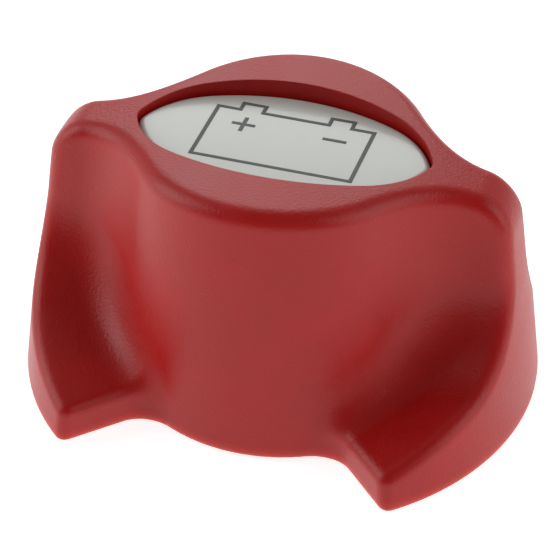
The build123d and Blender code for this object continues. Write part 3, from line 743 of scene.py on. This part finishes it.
@dataclass
class EyeOutline:
    """The pointed-oval outline of the legend: three tangent arcs in each quarter."""

    half_width: float = 10.2
    shoulder: Point = (12.0, 7.65)
    tip: Point = (18.5, 0.7)

    def __post_init__(self) -> None:
        """Works out the arcs' centres and radii."""
        rise = self.half_width - self.shoulder[1]
        self.long_r = (self.shoulder[0] ** 2 + rise ** 2) / (2 * rise)
        self.long_c = (0.0, self.half_width - self.long_r)
        inward = np.subtract(self.long_c, self.shoulder) / self.long_r
        span = np.subtract(self.tip, self.shoulder)
        self.short_r = float(span @ span / (2 * span @ inward))
        self.short_c = tuple(np.add(self.shoulder, self.short_r * inward))
        back = np.subtract(self.short_c, self.tip) / self.short_r
        self.tip_r = float(self.tip[1] / -back[1])
        self.tip_c = tuple(np.add(self.tip, self.tip_r * back))

    def points(self, inset: float = 0.0, steps: int = 24) -> Array:
        """The outline, or one that runs inside it at an even distance.

        Args:
            inset: How far inside the outline to run, in millimetres.
            steps: Points along each arc.

        Returns:
            The points, counter-clockwise from the right-hand tip.
        """
        top = (0.0, self.half_width)
        right = (self.tip_c[0] + self.tip_r, 0.0)
        arcs = ((self.tip_c, self.tip_r, right, self.tip),
                (self.short_c, self.short_r, self.tip, self.shoulder),
                (self.long_c, self.long_r, self.shoulder, top))
        quarter = []
        for centre, radius, start, end in arcs:
            first, last = (math.atan2(p[1] - centre[1], p[0] - centre[0]) for p in (start, end))
            for turn in np.linspace(first, last, steps, endpoint=False):
                reach = radius - inset
                quarter.append((centre[0] + reach * math.cos(turn), centre[1] + reach * math.sin(turn)))
        quarter = np.array(quarter)
        half = np.vstack([quarter, [(0.0, self.half_width - inset)], quarter[:0:-1] * (-1, 1)])
        return np.vstack([half, -half])


@dataclass
class KnobShell:
    """The moulded shell of the knob, worked out as one smooth surface."""

    taper: float = 0.125
    crown_r: float = 125.0
    drum_foot_r: float = 20.9
    drum_top_r: float = 18.1
    wing_half: float = 3.7
    wing_draft: float = 0.035
    flank_offset: float = 5.06
    flank_angle: float = 44.8
    lip_h: float = 5.0
    shelf_slope: float = 0.345
    scoop_r: float = 9.0
    valley_r: float = 7.0
    flank_valley_r: float = 3.4
    top_edge_r: float = 1.9
    lip_edge_r: float = 1.0
    foot_corner_r: float = 1.3
    wing_corner_r: float = 1.6
    shoulder_r: float = 4.0
    rim_edge_r: float = 0.9
    skin_t: float = 2.4
    roof: float = 5.0
    slot_half: float = 1.5
    slot_reach: float = 27.0
    slot_h: float = 22.0
    boss_r: float = 10.8
    boss_base: float = 14.5
    rib_half: float = 0.9
    rib_h: float = 13.0
    socket_r: float = 8.0
    socket_flat: float = 7.0
    socket_top: float = 26.0
    screw_at: float = 8.9
    screw_r: float = 1.1
    screw_top: float = 21.5
    pocket_depth: float = 3.4
    valley_span: Point = (2.0, 16.0)
    foot_span: Point = (3.0, 9.0)
    crown_span: Point = (24.0, 32.0)
    hollow_edge_r: float = 1.0
    hollow_rim_r: float = 0.8
    boss_edge_r: float = 0.5
    cell: float = 0.465
    margin: float = 2.5
    relax_rounds: int = 3

    def __post_init__(self) -> None:
        """Takes the knob's place and overall size from the frame."""
        low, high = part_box("knob_shell")
        self.rim_z, self.top_z, self.rim_r = low.z / MM, high.z / MM, high.x / MM
        self.eye = EyeOutline()

    def _foot(self, x: Array, y: Array, z: Array, inset: float, lip_top: float) -> tuple[Array, Array]:
        """Distances to the foot's upright flank and to its sloping scoop floor."""
        angle = math.radians(self.flank_angle)
        flank = (y - self.flank_offset) * math.cos(angle) - x * math.sin(angle) + inset
        shelf = (z - lip_top + self.shelf_slope * flank) / math.hypot(1, self.shelf_slope)
        return flank, shelf

    def outside(self, place: Array) -> Array:
        """Signed distance to the knob's outer form, without its hollow."""
        x, y, z = np.abs(place[..., 0]), np.abs(place[..., 1]), place[..., 2]
        reach = np.hypot(x, y)
        height = z - self.rim_z
        flank, shelf = self._foot(x, y, z, 0.0, self.rim_z + self.lip_h)
        foot = round_overlap(flank, shelf, self.lip_edge_r)
        wing = y - self.wing_half - self.wing_draft * np.maximum(self.top_z - z, 0)
        body = round_union(wing, foot, self.scoop_r)
        narrowing = (self.drum_foot_r - self.drum_top_r) / (self.top_z - self.rim_z)
        drum = (reach - self.drum_foot_r + narrowing * height) / math.hypot(1, narrowing)
        widening = eased(height, *self.valley_span)
        valley = self.flank_valley_r + (self.valley_r - self.flank_valley_r) * widening
        body = round_union(body, drum, valley)
        cone = (reach - self.rim_r + self.taper * height) / math.hypot(1, self.taper)
        crown = np.hypot(x, z - self.top_z + self.crown_r) - self.crown_r
        skin = round_overlap(cone, crown, self.shoulder_r)
        rise = eased(height, *self.foot_span)
        corner = self.foot_corner_r + (self.wing_corner_r - self.foot_corner_r) * rise
        corner += (self.top_edge_r - self.wing_corner_r) * eased(height, *self.crown_span)
        body = round_overlap(body, skin, corner)
        return round_overlap(body, -height, self.rim_edge_r)

    def hollow(self, place: Array) -> Array:
        """Signed distance to the hollow under the knob, less its boss and ribs."""
        x, y, z = np.abs(place[..., 0]), np.abs(place[..., 1]), place[..., 2]
        reach = np.hypot(x, y)
        height = z - self.rim_z
        lip_top = self.rim_z + self.lip_h - 1.1 * self.skin_t + self.shelf_slope * self.skin_t
        flank, shelf = self._foot(x, y, z, self.skin_t, lip_top)
        slot = np.maximum(np.maximum(y - self.slot_half, x - self.slot_reach), height - self.slot_h)
        foot = round_union(np.maximum(flank, shelf), slot, self.hollow_edge_r)
        cone = reach - (self.rim_r - self.skin_t) + self.taper * height
        roof_z = self.top_z - self.roof
        drum_h = roof_z - self.rim_z
        narrowing = (self.drum_foot_r - self.drum_top_r - 0.4) / drum_h
        wall = reach - (self.drum_foot_r - self.skin_t) + narrowing * height
        drum = round_overlap(wall, z - roof_z, self.hollow_edge_r)
        space = round_union(round_overlap(foot, cone, self.hollow_rim_r), drum, self.hollow_edge_r)
        boss = np.maximum(reach - self.boss_r, self.boss_base - z)
        ribs = np.maximum(np.minimum(x, y) - self.rib_half, roof_z - self.rib_h - z)
        ribs = np.maximum(ribs, reach - self.drum_top_r)
        return np.maximum(space, -round_union(boss, ribs, self.boss_edge_r))

    def cuts(self, place: Array) -> Array:
        """Signed distance to the drive socket's seat and its two screw holes."""
        x, y, z = np.abs(place[..., 0]), np.abs(place[..., 1]), place[..., 2]
        seat = np.maximum(np.hypot(x, y) - self.socket_r, y - self.socket_flat)
        seat = np.maximum(np.maximum(seat, z - self.socket_top), self.rim_z - 1 - z)
        holes = np.maximum(np.hypot(x, y - self.screw_at) - self.screw_r, z - self.screw_top)
        return np.minimum(seat, holes)

    def distance(self, place: Array) -> Array:
        """Signed distance to the knob's plastic before its pocket is cut, in millimetres."""
        return np.maximum(np.maximum(self.outside(place), -self.hollow(place)), -self.cuts(place))

    def settle(self, points: Array, rounds: int, step: float = 0.02) -> Array:
        """Moves points onto the surface along the distance's gradient.

        Args:
            points: The points to move.
            rounds: How often to move them.
            step: Half the span over which the gradient is taken.

        Returns:
            The moved points.
        """
        for _ in range(rounds):
            way = np.empty_like(points)
            for axis in range(3):
                shift = np.zeros(3)
                shift[axis] = step
                way[:, axis] = (self.distance(points + shift) - self.distance(points - shift)) / (2 * step)
            steep = np.maximum((way ** 2).sum(1, keepdims=True), 0.25)
            points = points - np.clip(self.distance(points)[:, None] * way / steep, -self.cell, self.cell)
        return points

    def build(self, finish: Material) -> Object:
        """Makes the shell's mesh.

        Args:
            finish: The red plastic.

        Returns:
            The shell, riding on the knob in place of its plain node.
        """
        low = np.array([-self.rim_r, -self.rim_r, self.rim_z]) - self.margin * self.cell
        high = np.array([self.rim_r, self.rim_r, self.top_z]) + self.margin * self.cell
        counts = np.ceil((high - low) / self.cell).astype(int)
        axes = [low[i] + self.cell * np.arange(counts[i]) for i in range(3)]
        samples = np.stack(np.meshgrid(*axes, indexing="ij"), axis=-1)
        points, quads = surface_net(self.distance(samples), low, self.cell)
        points = self.settle(points, 3)
        for _ in range(self.relax_rounds):
            points = self.settle(relaxed(points, quads), 2)
        shell = new_piece("knob_shell_moulded", points, quads)
        pocket_floor = self.top_z - self.pocket_depth
        pocket = stack([(self.eye.points(), pocket_floor), (self.eye.points(), self.top_z + self.cell)])
        shell = creased(carved(shell, new_piece("pocket", *pocket)))
        shell.data.materials.clear()
        shell.data.materials.append(finish)
        return replace(shell, Body.KNOB, "knob_red", "knob_shell")


def surface_net(field: Array, low: Array, cell: float) -> tuple[Array, Array]:
    """Quads round the zero level of a sampled distance.

    Args:
        field: Distances on a regular grid, negative inside.
        low: The grid's first corner.
        cell: The grid's spacing.

    Returns:
        Vertices, one in each cell that the surface crosses, and faces that point outwards.
    """
    inside = field < 0
    cells = tuple(n - 1 for n in field.shape)
    total, hits = np.zeros((*cells, 3)), np.zeros(cells)
    crossings = []
    for axis in range(3):
        size = field.shape[axis]
        first, second = (np.take(field, range(size - 1), axis), np.take(field, range(1, size), axis))
        crossed = (first < 0) != (second < 0)
        share = np.where(crossed, first / np.where(crossed, first - second, 1.0), 0.0)
        crossings.append(crossed)
        others = [a for a in range(3) if a != axis]
        for d in (0, 1):
            for e in (0, 1):
                cut = [slice(None)] * 3
                cut[others[0]] = slice(d, d + cells[others[0]])
                cut[others[1]] = slice(e, e + cells[others[1]])
                here = crossed[tuple(cut)]
                hits += here
                total[..., axis] += share[tuple(cut)] * here
                total[..., others[0]] += d * here
                total[..., others[1]] += e * here
    used = hits > 0
    number = np.full(cells, -1)
    number[used] = np.arange(used.sum())
    points = low + cell * (np.argwhere(used) + total[used] / hits[used][:, None])
    quads = []
    for axis in range(3):
        others = [a for a in range(3) if a != axis]
        spots = np.argwhere(crossings[axis])
        spots = spots[(spots[:, others[0]] > 0) & (spots[:, others[1]] > 0)
                      & (spots[:, others[0]] < cells[others[0]]) & (spots[:, others[1]] < cells[others[1]])]
        loop = []
        for d, e in ((1, 1), (0, 1), (0, 0), (1, 0)):
            near = spots.copy()
            near[:, others[0]] -= d
            near[:, others[1]] -= e
            loop.append(number[tuple(near.T)])
        faces = np.stack(loop, axis=1)
        flip = ~inside[tuple(spots.T)] ^ (axis == 1)
        faces[flip] = faces[flip][:, ::-1]
        quads.append(faces)
    return points, np.vstack(quads)


def relaxed(points: Array, quads: Array) -> Array:
    """Each point drawn halfway to the middle of its neighbours."""
    total, count = np.zeros_like(points), np.zeros((len(points), 1))
    for i in range(4):
        here, ahead = quads[:, i], quads[:, (i + 1) % 4]
        for a, b in ((here, ahead), (ahead, here)):
            for axis in range(3):
                total[:, axis] += np.bincount(a, points[b, axis], len(points))
            count[:, 0] += np.bincount(a, minlength=len(points))
    return 0.5 * points + 0.5 * total / np.maximum(count, 1)


@dataclass
class LegendPlate:
    """The grey plate in the knob's pocket, with a soft edge all round."""

    gap: float = 0.12
    edge_r: float = 0.9
    ink_proud: float = 0.03
    steps: int = 7

    def build(self, finish: Material) -> Object:
        """Makes the plate.

        Args:
            finish: The legend's plastic.

        Returns:
            The plate, riding on the knob in place of its plain node.
        """
        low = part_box("legend_plate")[0].z / MM
        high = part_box("legend_symbol")[1].z / MM - self.ink_proud
        eye = EyeOutline()
        levels = [(eye.points(self.gap), low)]
        for step in range(self.steps + 1):
            turn = math.pi / 2 * step / self.steps
            levels.append((eye.points(self.gap + self.edge_r * (1 - math.cos(turn))),
                           high - self.edge_r * (1 - math.sin(turn))))
        plate = creased(outward(new_piece("legend_plate_moulded", *stack(levels))))
        plate.data.materials.append(finish)
        return replace(plate, Body.KNOB, "legend_grey", "legend_plate")


# ------------------------------------------------------------------ fasteners


class Side(Enum):
    """The two terminals, with the side of the axis that each stands on."""

    LEFT = -1
    RIGHT = 1

    def node(self, piece: str) -> str:
        """The name of one of this terminal's nodes."""
        return f"{self.name.lower()}_{piece}"


@dataclass
class Terminal:
    """One threaded stud with its washer, spring washer and nut, behind the housing."""

    side: Side
    thread_r: float = 4.9
    thread_depth: float = 0.85
    pitch: float = 1.5
    shoulder_r: float = 5.4
    shoulder_l: float = 9.0
    head_side: float = 15.0
    head_corner: float = 2.0
    head_t: float = 4.6
    edge: float = 0.35
    nut_flats: float = 16.0
    nut_bore: float = 5.0
    nut_face: float = 0.95
    nut_slope: float = 30.0
    spring_rise: float = 0.35
    spring_gap: float = 9.0
    spring_bore: float = 5.15
    thread_lead: float = 1.1
    thread_around: int = 48
    rows_per_turn: int = 14
    nut_steps: int = 9
    nut_around: int = 144
    spring_rows: int = 120

    def _span(self, piece: str) -> tuple[float, float, float]:
        """Where a node's middle stands along X, and its lowest and highest points."""
        low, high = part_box(self.side.node(piece))
        return (low.x + high.x) / 2 / MM, low.z / MM, high.z / MM

    def _done(self, piece: Object, node: str, slot: str, finish: Material, x: float) -> Object:
        """Moves a piece to its stud's axis, dresses it and puts it in place of its node."""
        piece.data.transform(Matrix.Translation((x * MM, 0, 0)))
        piece.data.materials.clear()
        piece.data.materials.append(finish)
        return replace(creased(piece), Body.HOUSING, slot, self.side.node(node))

    def stud(self, thread: Recipe, finishes: dict[str, Material], slot: str) -> None:
        """Makes the stud: a square head, a round shoulder and a rolled thread."""
        x, low, high = self._span("stud")
        seat = high - self.head_t
        root = seat - self.shoulder_l
        rod = thread.grow("thread", finishes[slot], Radius=self.thread_r * MM, Depth=self.thread_depth * MM,
                          Pitch=self.pitch * MM, Length=(root - low) * MM, Lead=self.thread_lead * MM,
                          Around=self.thread_around, Rows=int((root - low) / self.pitch * self.rows_per_turn))
        rod.data.transform(Matrix.Translation((0, 0, low * MM)))
        shoulder = new_piece("shoulder", *stack([(circle(self.shoulder_r - self.edge), root),
                                                 (circle(self.shoulder_r), root + self.edge),
                                                 (circle(self.shoulder_r), seat + self.edge)]))
        small = soft_square(self.head_side - 2 * self.edge, self.head_corner)
        full = soft_square(self.head_side, self.head_corner)
        head = new_piece("head", *stack([(small, seat), (full, seat + self.edge), (full, high - self.edge),
                                         (small, high)]))
        piece = joined(self.side.node("stud_threaded"), outward(rod), outward(shoulder), outward(head))
        self._done(piece, "stud", slot, finishes[slot], x)

    def nut(self, finishes: dict[str, Material], slot: str) -> None:
        """Makes the nut: a hexagon whose corners are turned down at both faces, with a countersunk bore."""
        x, low, high = self._span("nut")
        face = self.nut_face * self.nut_flats / 2
        corner = self.nut_flats / math.sqrt(3)
        slope = math.tan(math.radians(self.nut_slope))
        climb = [(r, (r - face) * slope) for r in np.linspace(face, corner, self.nut_steps)]
        sink = self.nut_bore + 2 * self.edge
        half = [(self.nut_bore, 2 * self.edge), (sink, 0.0), *climb]
        profile = [(r, low + h) for r, h in half] + [(r, high - h) for r, h in reversed(half)]

        def hexagon(radius: float, turn: Array) -> Array:
            """A profile radius, held within the nut's six flats."""
            off = np.mod(turn + math.pi / 6, math.pi / 3) - math.pi / 6
            return np.minimum(radius, self.nut_flats / 2 / np.cos(off))

        solid = lathe(profile, self.nut_around, radius_at=hexagon)
        piece = outward(new_piece(self.side.node("nut_chamfered"), *solid))
        self._done(piece, "nut", slot, finishes[slot], x)

    def washer(self, finishes: dict[str, Material], slot: str) -> None:
        """Makes the flat washer, with the rounded edges of a stamping."""
        x, low, high = self._span("washer")
        reach = (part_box(self.side.node("washer"))[1].x / MM) - x
        bore = self.thread_r + self.edge
        profile = rounded([(bore, low), (reach, low), (reach, high), (bore, high)], self.edge)
        piece = outward(new_piece(self.side.node("washer_stamped"), *lathe(profile)))
        self._done(piece, "washer", slot, finishes[slot], x)

    def spring_washer(self, finishes: dict[str, Material], slot: str) -> None:
        """Makes the split washer: one turn of square wire, its two ends a little apart in height."""
        x, low, high = self._span("spring_washer")
        reach = (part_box(self.side.node("spring_washer"))[1].x / MM) - x
        top = high - self.spring_rise
        bore, rows = self.spring_bore, self.spring_rows
        section = rounded([(bore, low), (reach, low), (reach, top), (bore, top)], self.edge)
        gap = math.radians(self.spring_gap)
        points = []
        for i in range(rows):
            turn = gap / 2 + (2 * math.pi - gap) * i / (rows - 1)
            lift = self.spring_rise * i / (rows - 1)
            points += [(r * math.cos(turn), r * math.sin(turn), z + lift) for r, z in section]
        around = len(section)
        last = (rows - 1) * around
        caps = [tuple(range(around)), tuple(reversed(range(last, last + around)))]
        faces = ring_faces(rows, around) + caps
        piece = outward(new_piece(self.side.node("spring_washer_split"), points, faces))
        self._done(piece, "spring_washer", slot, finishes[slot], x)


@dataclass
class CoverScrews:
    """Four cross-recessed screws that hold the rear cover."""

    shank_r: float = 1.75
    head_r: float = 3.5
    head_h: float = 2.4
    thread_depth: float = 0.35
    pitch: float = 1.35
    dome: float = 0.9
    recess_reach: float = 2.0
    recess_half: float = 0.42
    recess_depth: float = 1.5
    recess_start: float = 0.5
    recess_taper: float = 0.45
    thread_lead: float = 0.5
    thread_around: int = 32
    rows_per_turn: int = 12
    crown_r: float = 0.05
    crown_steps: int = 8
    head_around: int = 64

    def build(self, thread: Recipe, square: Recipe, finish: Material, slot: str) -> Object:
        """Makes the set of four.

        Args:
            thread: The thread recipe.
            square: The recipe that repeats a piece on a square.
            finish: The screws' steel.
            slot: The record's slot of that finish.

        Returns:
            The screws, riding on the housing in place of their plain node.
        """
        low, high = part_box("cover_screws")
        side = (high.x - low.x) / MM - 2 * self.head_r
        seat = low.z / MM + self.head_h
        rod = thread.grow("screw_thread", finish, Radius=self.shank_r * MM, Depth=self.thread_depth * MM,
                          Pitch=self.pitch * MM, Length=high.z - seat * MM, Lead=self.thread_lead * MM,
                          Around=self.thread_around,
                          Rows=int((high.z / MM - seat) / self.pitch * self.rows_per_turn))
        rod.data.transform(Matrix.Translation((0, 0, seat * MM)))
        rows = []
        face = seat - self.head_h
        for step in range(self.crown_steps + 1):
            turn = math.pi / 2 * step / self.crown_steps
            rows.append((circle(max(self.head_r * math.sin(turn), self.crown_r), self.head_around),
                         face + self.dome * (1 - math.cos(turn))))
        head = new_piece("screw_head", *stack([*rows, (circle(self.head_r, self.head_around), seat)]))
        for turned in (False, True):
            wide, thin = self.recess_reach, self.recess_half
            levels = []
            for shrink, z in ((1.0, face - self.recess_start), (self.recess_taper, face + self.recess_depth)):
                box = np.array([(-1, -1), (1, -1), (1, 1), (-1, 1)]) * (wide * shrink, thin)
                levels.append((box @ np.array([(0, 1), (-1, 0)]) if turned else box, z))
            head = carved(head, outward(new_piece("recess", *stack(levels))))
        screw = joined("cover_screw", outward(rod), outward(head))
        four = square.grow("cover_screws_recessed", finish, Piece=screw, Side=side * MM)
        bpy.data.objects.remove(screw)
        return replace(creased(four), Body.HOUSING, slot, "cover_screws")


@dataclass
class FixingInserts:
    """Four knurled inserts in the housing's front, for the screws that come through the panel."""

    outer_r: float = 3.0
    bore_r: float = 1.65
    knurl: float = 0.16
    teeth: int = 24
    groove: float = 0.45
    land: float = 1.2
    chamfer: float = 0.35

    def build(self, square: Recipe, finish: Material, slot: str) -> Object:
        """Makes the set of four.

        Args:
            square: The recipe that repeats a piece on a square.
            finish: The inserts' brass.
            slot: The record's slot of that finish.

        Returns:
            The inserts, riding on the housing in place of their plain node.
        """
        low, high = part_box("fixing_inserts")
        side = (high.x - low.x) / MM - 2 * self.outer_r
        bottom, top = low.z / MM, high.z / MM
        waist = self.outer_r - self.groove
        outer = [(waist, bottom), (waist, bottom + self.chamfer)]
        third = (top - bottom - 2 * self.land) / 2
        for band in range(2):
            start = bottom + self.land + band * (third + self.chamfer / 2)
            end = start + third - self.chamfer
            outer += [(waist, start), (self.outer_r, start + self.chamfer),
                      (self.outer_r, end - self.chamfer), (waist, end)]
        collar = self.outer_r - self.knurl
        outer += [(waist, top - self.land), (collar, top - self.land), (collar, top)]
        mouth = self.bore_r + self.chamfer
        bore = [(mouth, top), (self.bore_r, top - self.chamfer), (self.bore_r, bottom + self.chamfer),
                (mouth, bottom)]

        def knurled(radius: float, turn: Array) -> Array:
            """The full radius cut into teeth, and every other radius round."""
            wave = np.abs(np.mod(turn * self.teeth / (2 * math.pi), 1.0) - 0.5) * 2
            return np.where(radius == self.outer_r, radius - self.knurl * wave, radius)

        one = outward(new_piece("insert", *lathe(outer + bore, 4 * self.teeth, radius_at=knurled)))
        four = square.grow("fixing_inserts_knurled", finish, Piece=one, Side=side * MM)
        bpy.data.objects.remove(one)
        return replace(creased(four), Body.HOUSING, slot, "fixing_inserts")


@dataclass
class Spring:
    """A compression spring on the switch's axis, wound to fill its plain node."""

    node: str
    body: Body
    turns: float
    wire_r: float = 0.5
    steps: int = 40

    def build(self, recipe: Recipe, finish: Material, slot: str) -> Object:
        """Makes the spring.

        Args:
            recipe: The spring recipe.
            finish: Its steel.
            slot: The record's slot of that finish.

        Returns:
            The spring, riding on its body in place of its plain node.
        """
        low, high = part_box(self.node)
        wire = self.wire_r * MM
        piece = recipe.grow(f"{self.node}_wound", finish, Radius=high.x - wire, Wire=wire, Turns=self.turns,
                            Height=high.z - low.z - 2 * wire, Steps=self.steps)
        piece.data.transform(Matrix.Translation((0, 0, low.z + wire)))
        return replace(creased(outward(piece)), self.body, slot, self.node)


# ------------------------------------------------------------------ riding


def replace(piece: Object, body: Body, slot: str, *nodes: str) -> Object:
    """Puts a finished piece on its body, in place of plain nodes.

    Args:
        piece: The finished piece.
        body: What it moves with.
        slot: The record's slot of its finish; not used.
        nodes: The nodes it stands for.

    Returns:
        The same piece.
    """
    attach(piece, body.value)
    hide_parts(*nodes)
    piece.data.calc_loop_triangles()
    LOG.info("%s: %d triangles, for %s", piece.name, len(piece.data.loop_triangles), ", ".join(nodes))
    return piece


# ------------------------------------------------------------------ studio


@dataclass
class Studio:
    """Camera, lights, the floor and the panel that the switch is fitted to."""

    azimuth: float = 17.73
    elevation: float = 38.04
    distance: float = 291.5
    lens: float = 150.1
    aim_height: float = 21.65
    aim_right: float = -0.36
    aim_up: float = -5.01
    panel_side: float = 100.0
    panel_corner: float = 9.0
    panel_hole_r: float = 13.6
    panel_t: float = 3.0
    panel_around: int = 128
    floor_side: float = 6000.0
    room_pale: Colour = (0.62, 0.62, 0.63)
    room_dim: Colour = (0.14, 0.14, 0.14)
    paint_dark: Colour = (0.60, 0.60, 0.60)
    paint_pale: Colour = (0.63, 0.63, 0.63)
    paint_roughness: float = 0.7
    paint_glow: float = 0.85

    def _to_camera(self) -> Vector:
        """The direction from the switch to the camera."""
        turn, lift = math.radians(self.azimuth), math.radians(self.elevation)
        return Vector((math.sin(turn) * math.cos(lift), -math.cos(turn) * math.cos(lift), math.sin(lift)))

    def camera(self) -> None:
        """Makes the scene's camera."""
        back = self._to_camera()
        facing = (-back).to_track_quat("-Z", "Y")
        aim = Vector((0, 0, self.aim_height)) + facing @ Vector((self.aim_right, self.aim_up, 0))
        data = bpy.data.cameras.new("camera")
        data.lens = self.lens
        data.clip_start, data.clip_end = 0.01, 100
        camera = bpy.data.objects.new("camera", data)
        camera.location = (aim + back * self.distance) * MM
        camera.rotation_mode = "QUATERNION"
        camera.rotation_quaternion = facing
        bpy.context.scene.collection.objects.link(camera)
        bpy.context.scene.camera = camera

    def _area(self, name: str, place: Colour, aim: Colour, size: Point, radiance: float) -> None:
        """A softbox of a given radiance, aimed at a point, in millimetres."""
        light = bpy.data.lights.new(name, "AREA")
        light.shape = "RECTANGLE"
        light.size, light.size_y = size[0] * MM, size[1] * MM
        light.energy = math.pi * radiance * light.size * light.size_y
        lamp = bpy.data.objects.new(name, light)
        lamp.location = Vector(place) * MM
        lamp.rotation_mode = "QUATERNION"
        lamp.rotation_quaternion = (Vector(aim) - Vector(place)).to_track_quat("-Z", "Y")
        bpy.context.scene.collection.objects.link(lamp)

    def lights(self) -> None:
        """Soft boxes over and beside the switch."""
        self._area("softbox_back", (-200, 590, 440), (0, 0, 20), (430, 380), 2.3)
        self._area("softbox_left", (-600, -160, 330), (0, 0, 15), (420, 560), 2.3)
        self._area("softbox_right", (600, -60, 300), (0, 0, 15), (420, 560), 1.7)

    def world(self) -> None:
        """A pale room that is dim on the camera's side."""
        world = bpy.data.worlds.new("room")
        world.use_nodes = True
        bpy.context.scene.world = world
        shader = Shader(world.node_tree)
        way = shader.node("ShaderNodeTexCoord").outputs["Generated"]
        facing = shader.node("ShaderNodeVectorMath", {"Vector": way}, operation="DOT_PRODUCT")
        facing.inputs[1].default_value = self._to_camera()
        dim = shader.spread(facing.outputs["Value"], 0.15, 0.6)
        shade = shader.blend(dim, (*self.room_pale, 1), (*self.room_dim, 1))
        camera_ray = shader.node("ShaderNodeLightPath").outputs["Is Camera Ray"]
        seen = shader.blend(camera_ray, shade, (1, 1, 1, 1))
        world.node_tree.links.new(seen, world.node_tree.nodes["Background"].inputs["Color"])

    def stage(self) -> None:
        """The floor, and the white panel that the switch is fitted through."""
        paint = bpy.data.materials.new("stage_white")
        paint.use_nodes = True
        shader = Shader(paint.node_tree)
        principled = paint.node_tree.nodes["Principled BSDF"]
        place = shader.node("ShaderNodeTexCoord").outputs["Object"]
        tone = shader.blend(shader.noise(place, 0.02), (*self.paint_dark, 1), (*self.paint_pale, 1))
        paint.node_tree.links.new(tone, principled.inputs["Base Color"])
        principled.inputs["Roughness"].default_value = self.paint_roughness
        principled.inputs["Emission Color"].default_value = (1, 1, 1, 1)
        principled.inputs["Emission Strength"].default_value = self.paint_glow
        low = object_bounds()[0].z / MM
        half = self.floor_side / 2
        floor = new_piece("floor", np.array([(-half, -half, low), (half, -half, low), (half, half, low),
                                             (-half, half, low)]), [(0, 1, 2, 3)], smooth=False)
        around = self.panel_around
        edge = soft_square(self.panel_side, self.panel_corner, around)
        hole = circle(self.panel_hole_r, around)
        rows = [np.c_[ring, np.full(around, z)] for ring, z in
                ((hole, self.panel_t), (hole, 0.0), (edge, 0.0), (edge, self.panel_t))]
        panel = new_piece("panel", np.vstack(rows), ring_faces(4, around, closed=True), smooth=False)
        for piece in (floor, panel):
            piece.data.materials.append(paint)
        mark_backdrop(floor, panel)


# ------------------------------------------------------------------ the whole switch


def main() -> None:
    """Builds the switch's looks round its frame."""
    logging.basicConfig(level=logging.INFO, format="%(message)s")
    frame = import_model()
    bpy.context.scene.view_settings.view_transform = "Standard"
    studio = Studio()
    studio.camera()
    studio.lights()
    studio.world()
    effects = Effects()
    finishes = {finish.slot: finish.build(effects) for finish in (*PLASTICS, *METALS)}
    slots = {name: node.material_slots[0].material.name.split(".")[0]
             for name, node in frame["nodes"].items()}
    for name, node in frame["nodes"].items():
        for holder in node.material_slots:
            holder.material = finishes[slots[name]]
        LOG.info("%s is in %s", name, slots[name])
    KnobShell().build(finishes["knob_red"])
    LegendPlate().build(finishes["legend_grey"])
    thread, square = thread_recipe(), square_recipe()
    for side in Side:
        terminal = Terminal(side)
        terminal.stud(thread, finishes, slots[side.node("stud")])
        terminal.nut(finishes, slots[side.node("nut")])
        terminal.washer(finishes, slots[side.node("washer")])
        terminal.spring_washer(finishes, slots[side.node("spring_washer")])
    CoverScrews().build(thread, square, finishes[slots["cover_screws"]], slots["cover_screws"])
    FixingInserts().build(square, finishes[slots["fixing_inserts"]], slots["fixing_inserts"])
    coil = spring_recipe()
    steel = slots["return_spring"]
    Spring("contact_spring", Body.CARRIER, 2.0).build(coil, finishes[steel], steel)
    pushed = Spring("return_spring", Body.HOUSING, 6.0).build(coil, finishes[steel], steel)
    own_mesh(pushed)
    studio.stage()


if __name__ == "__main__":
    main()
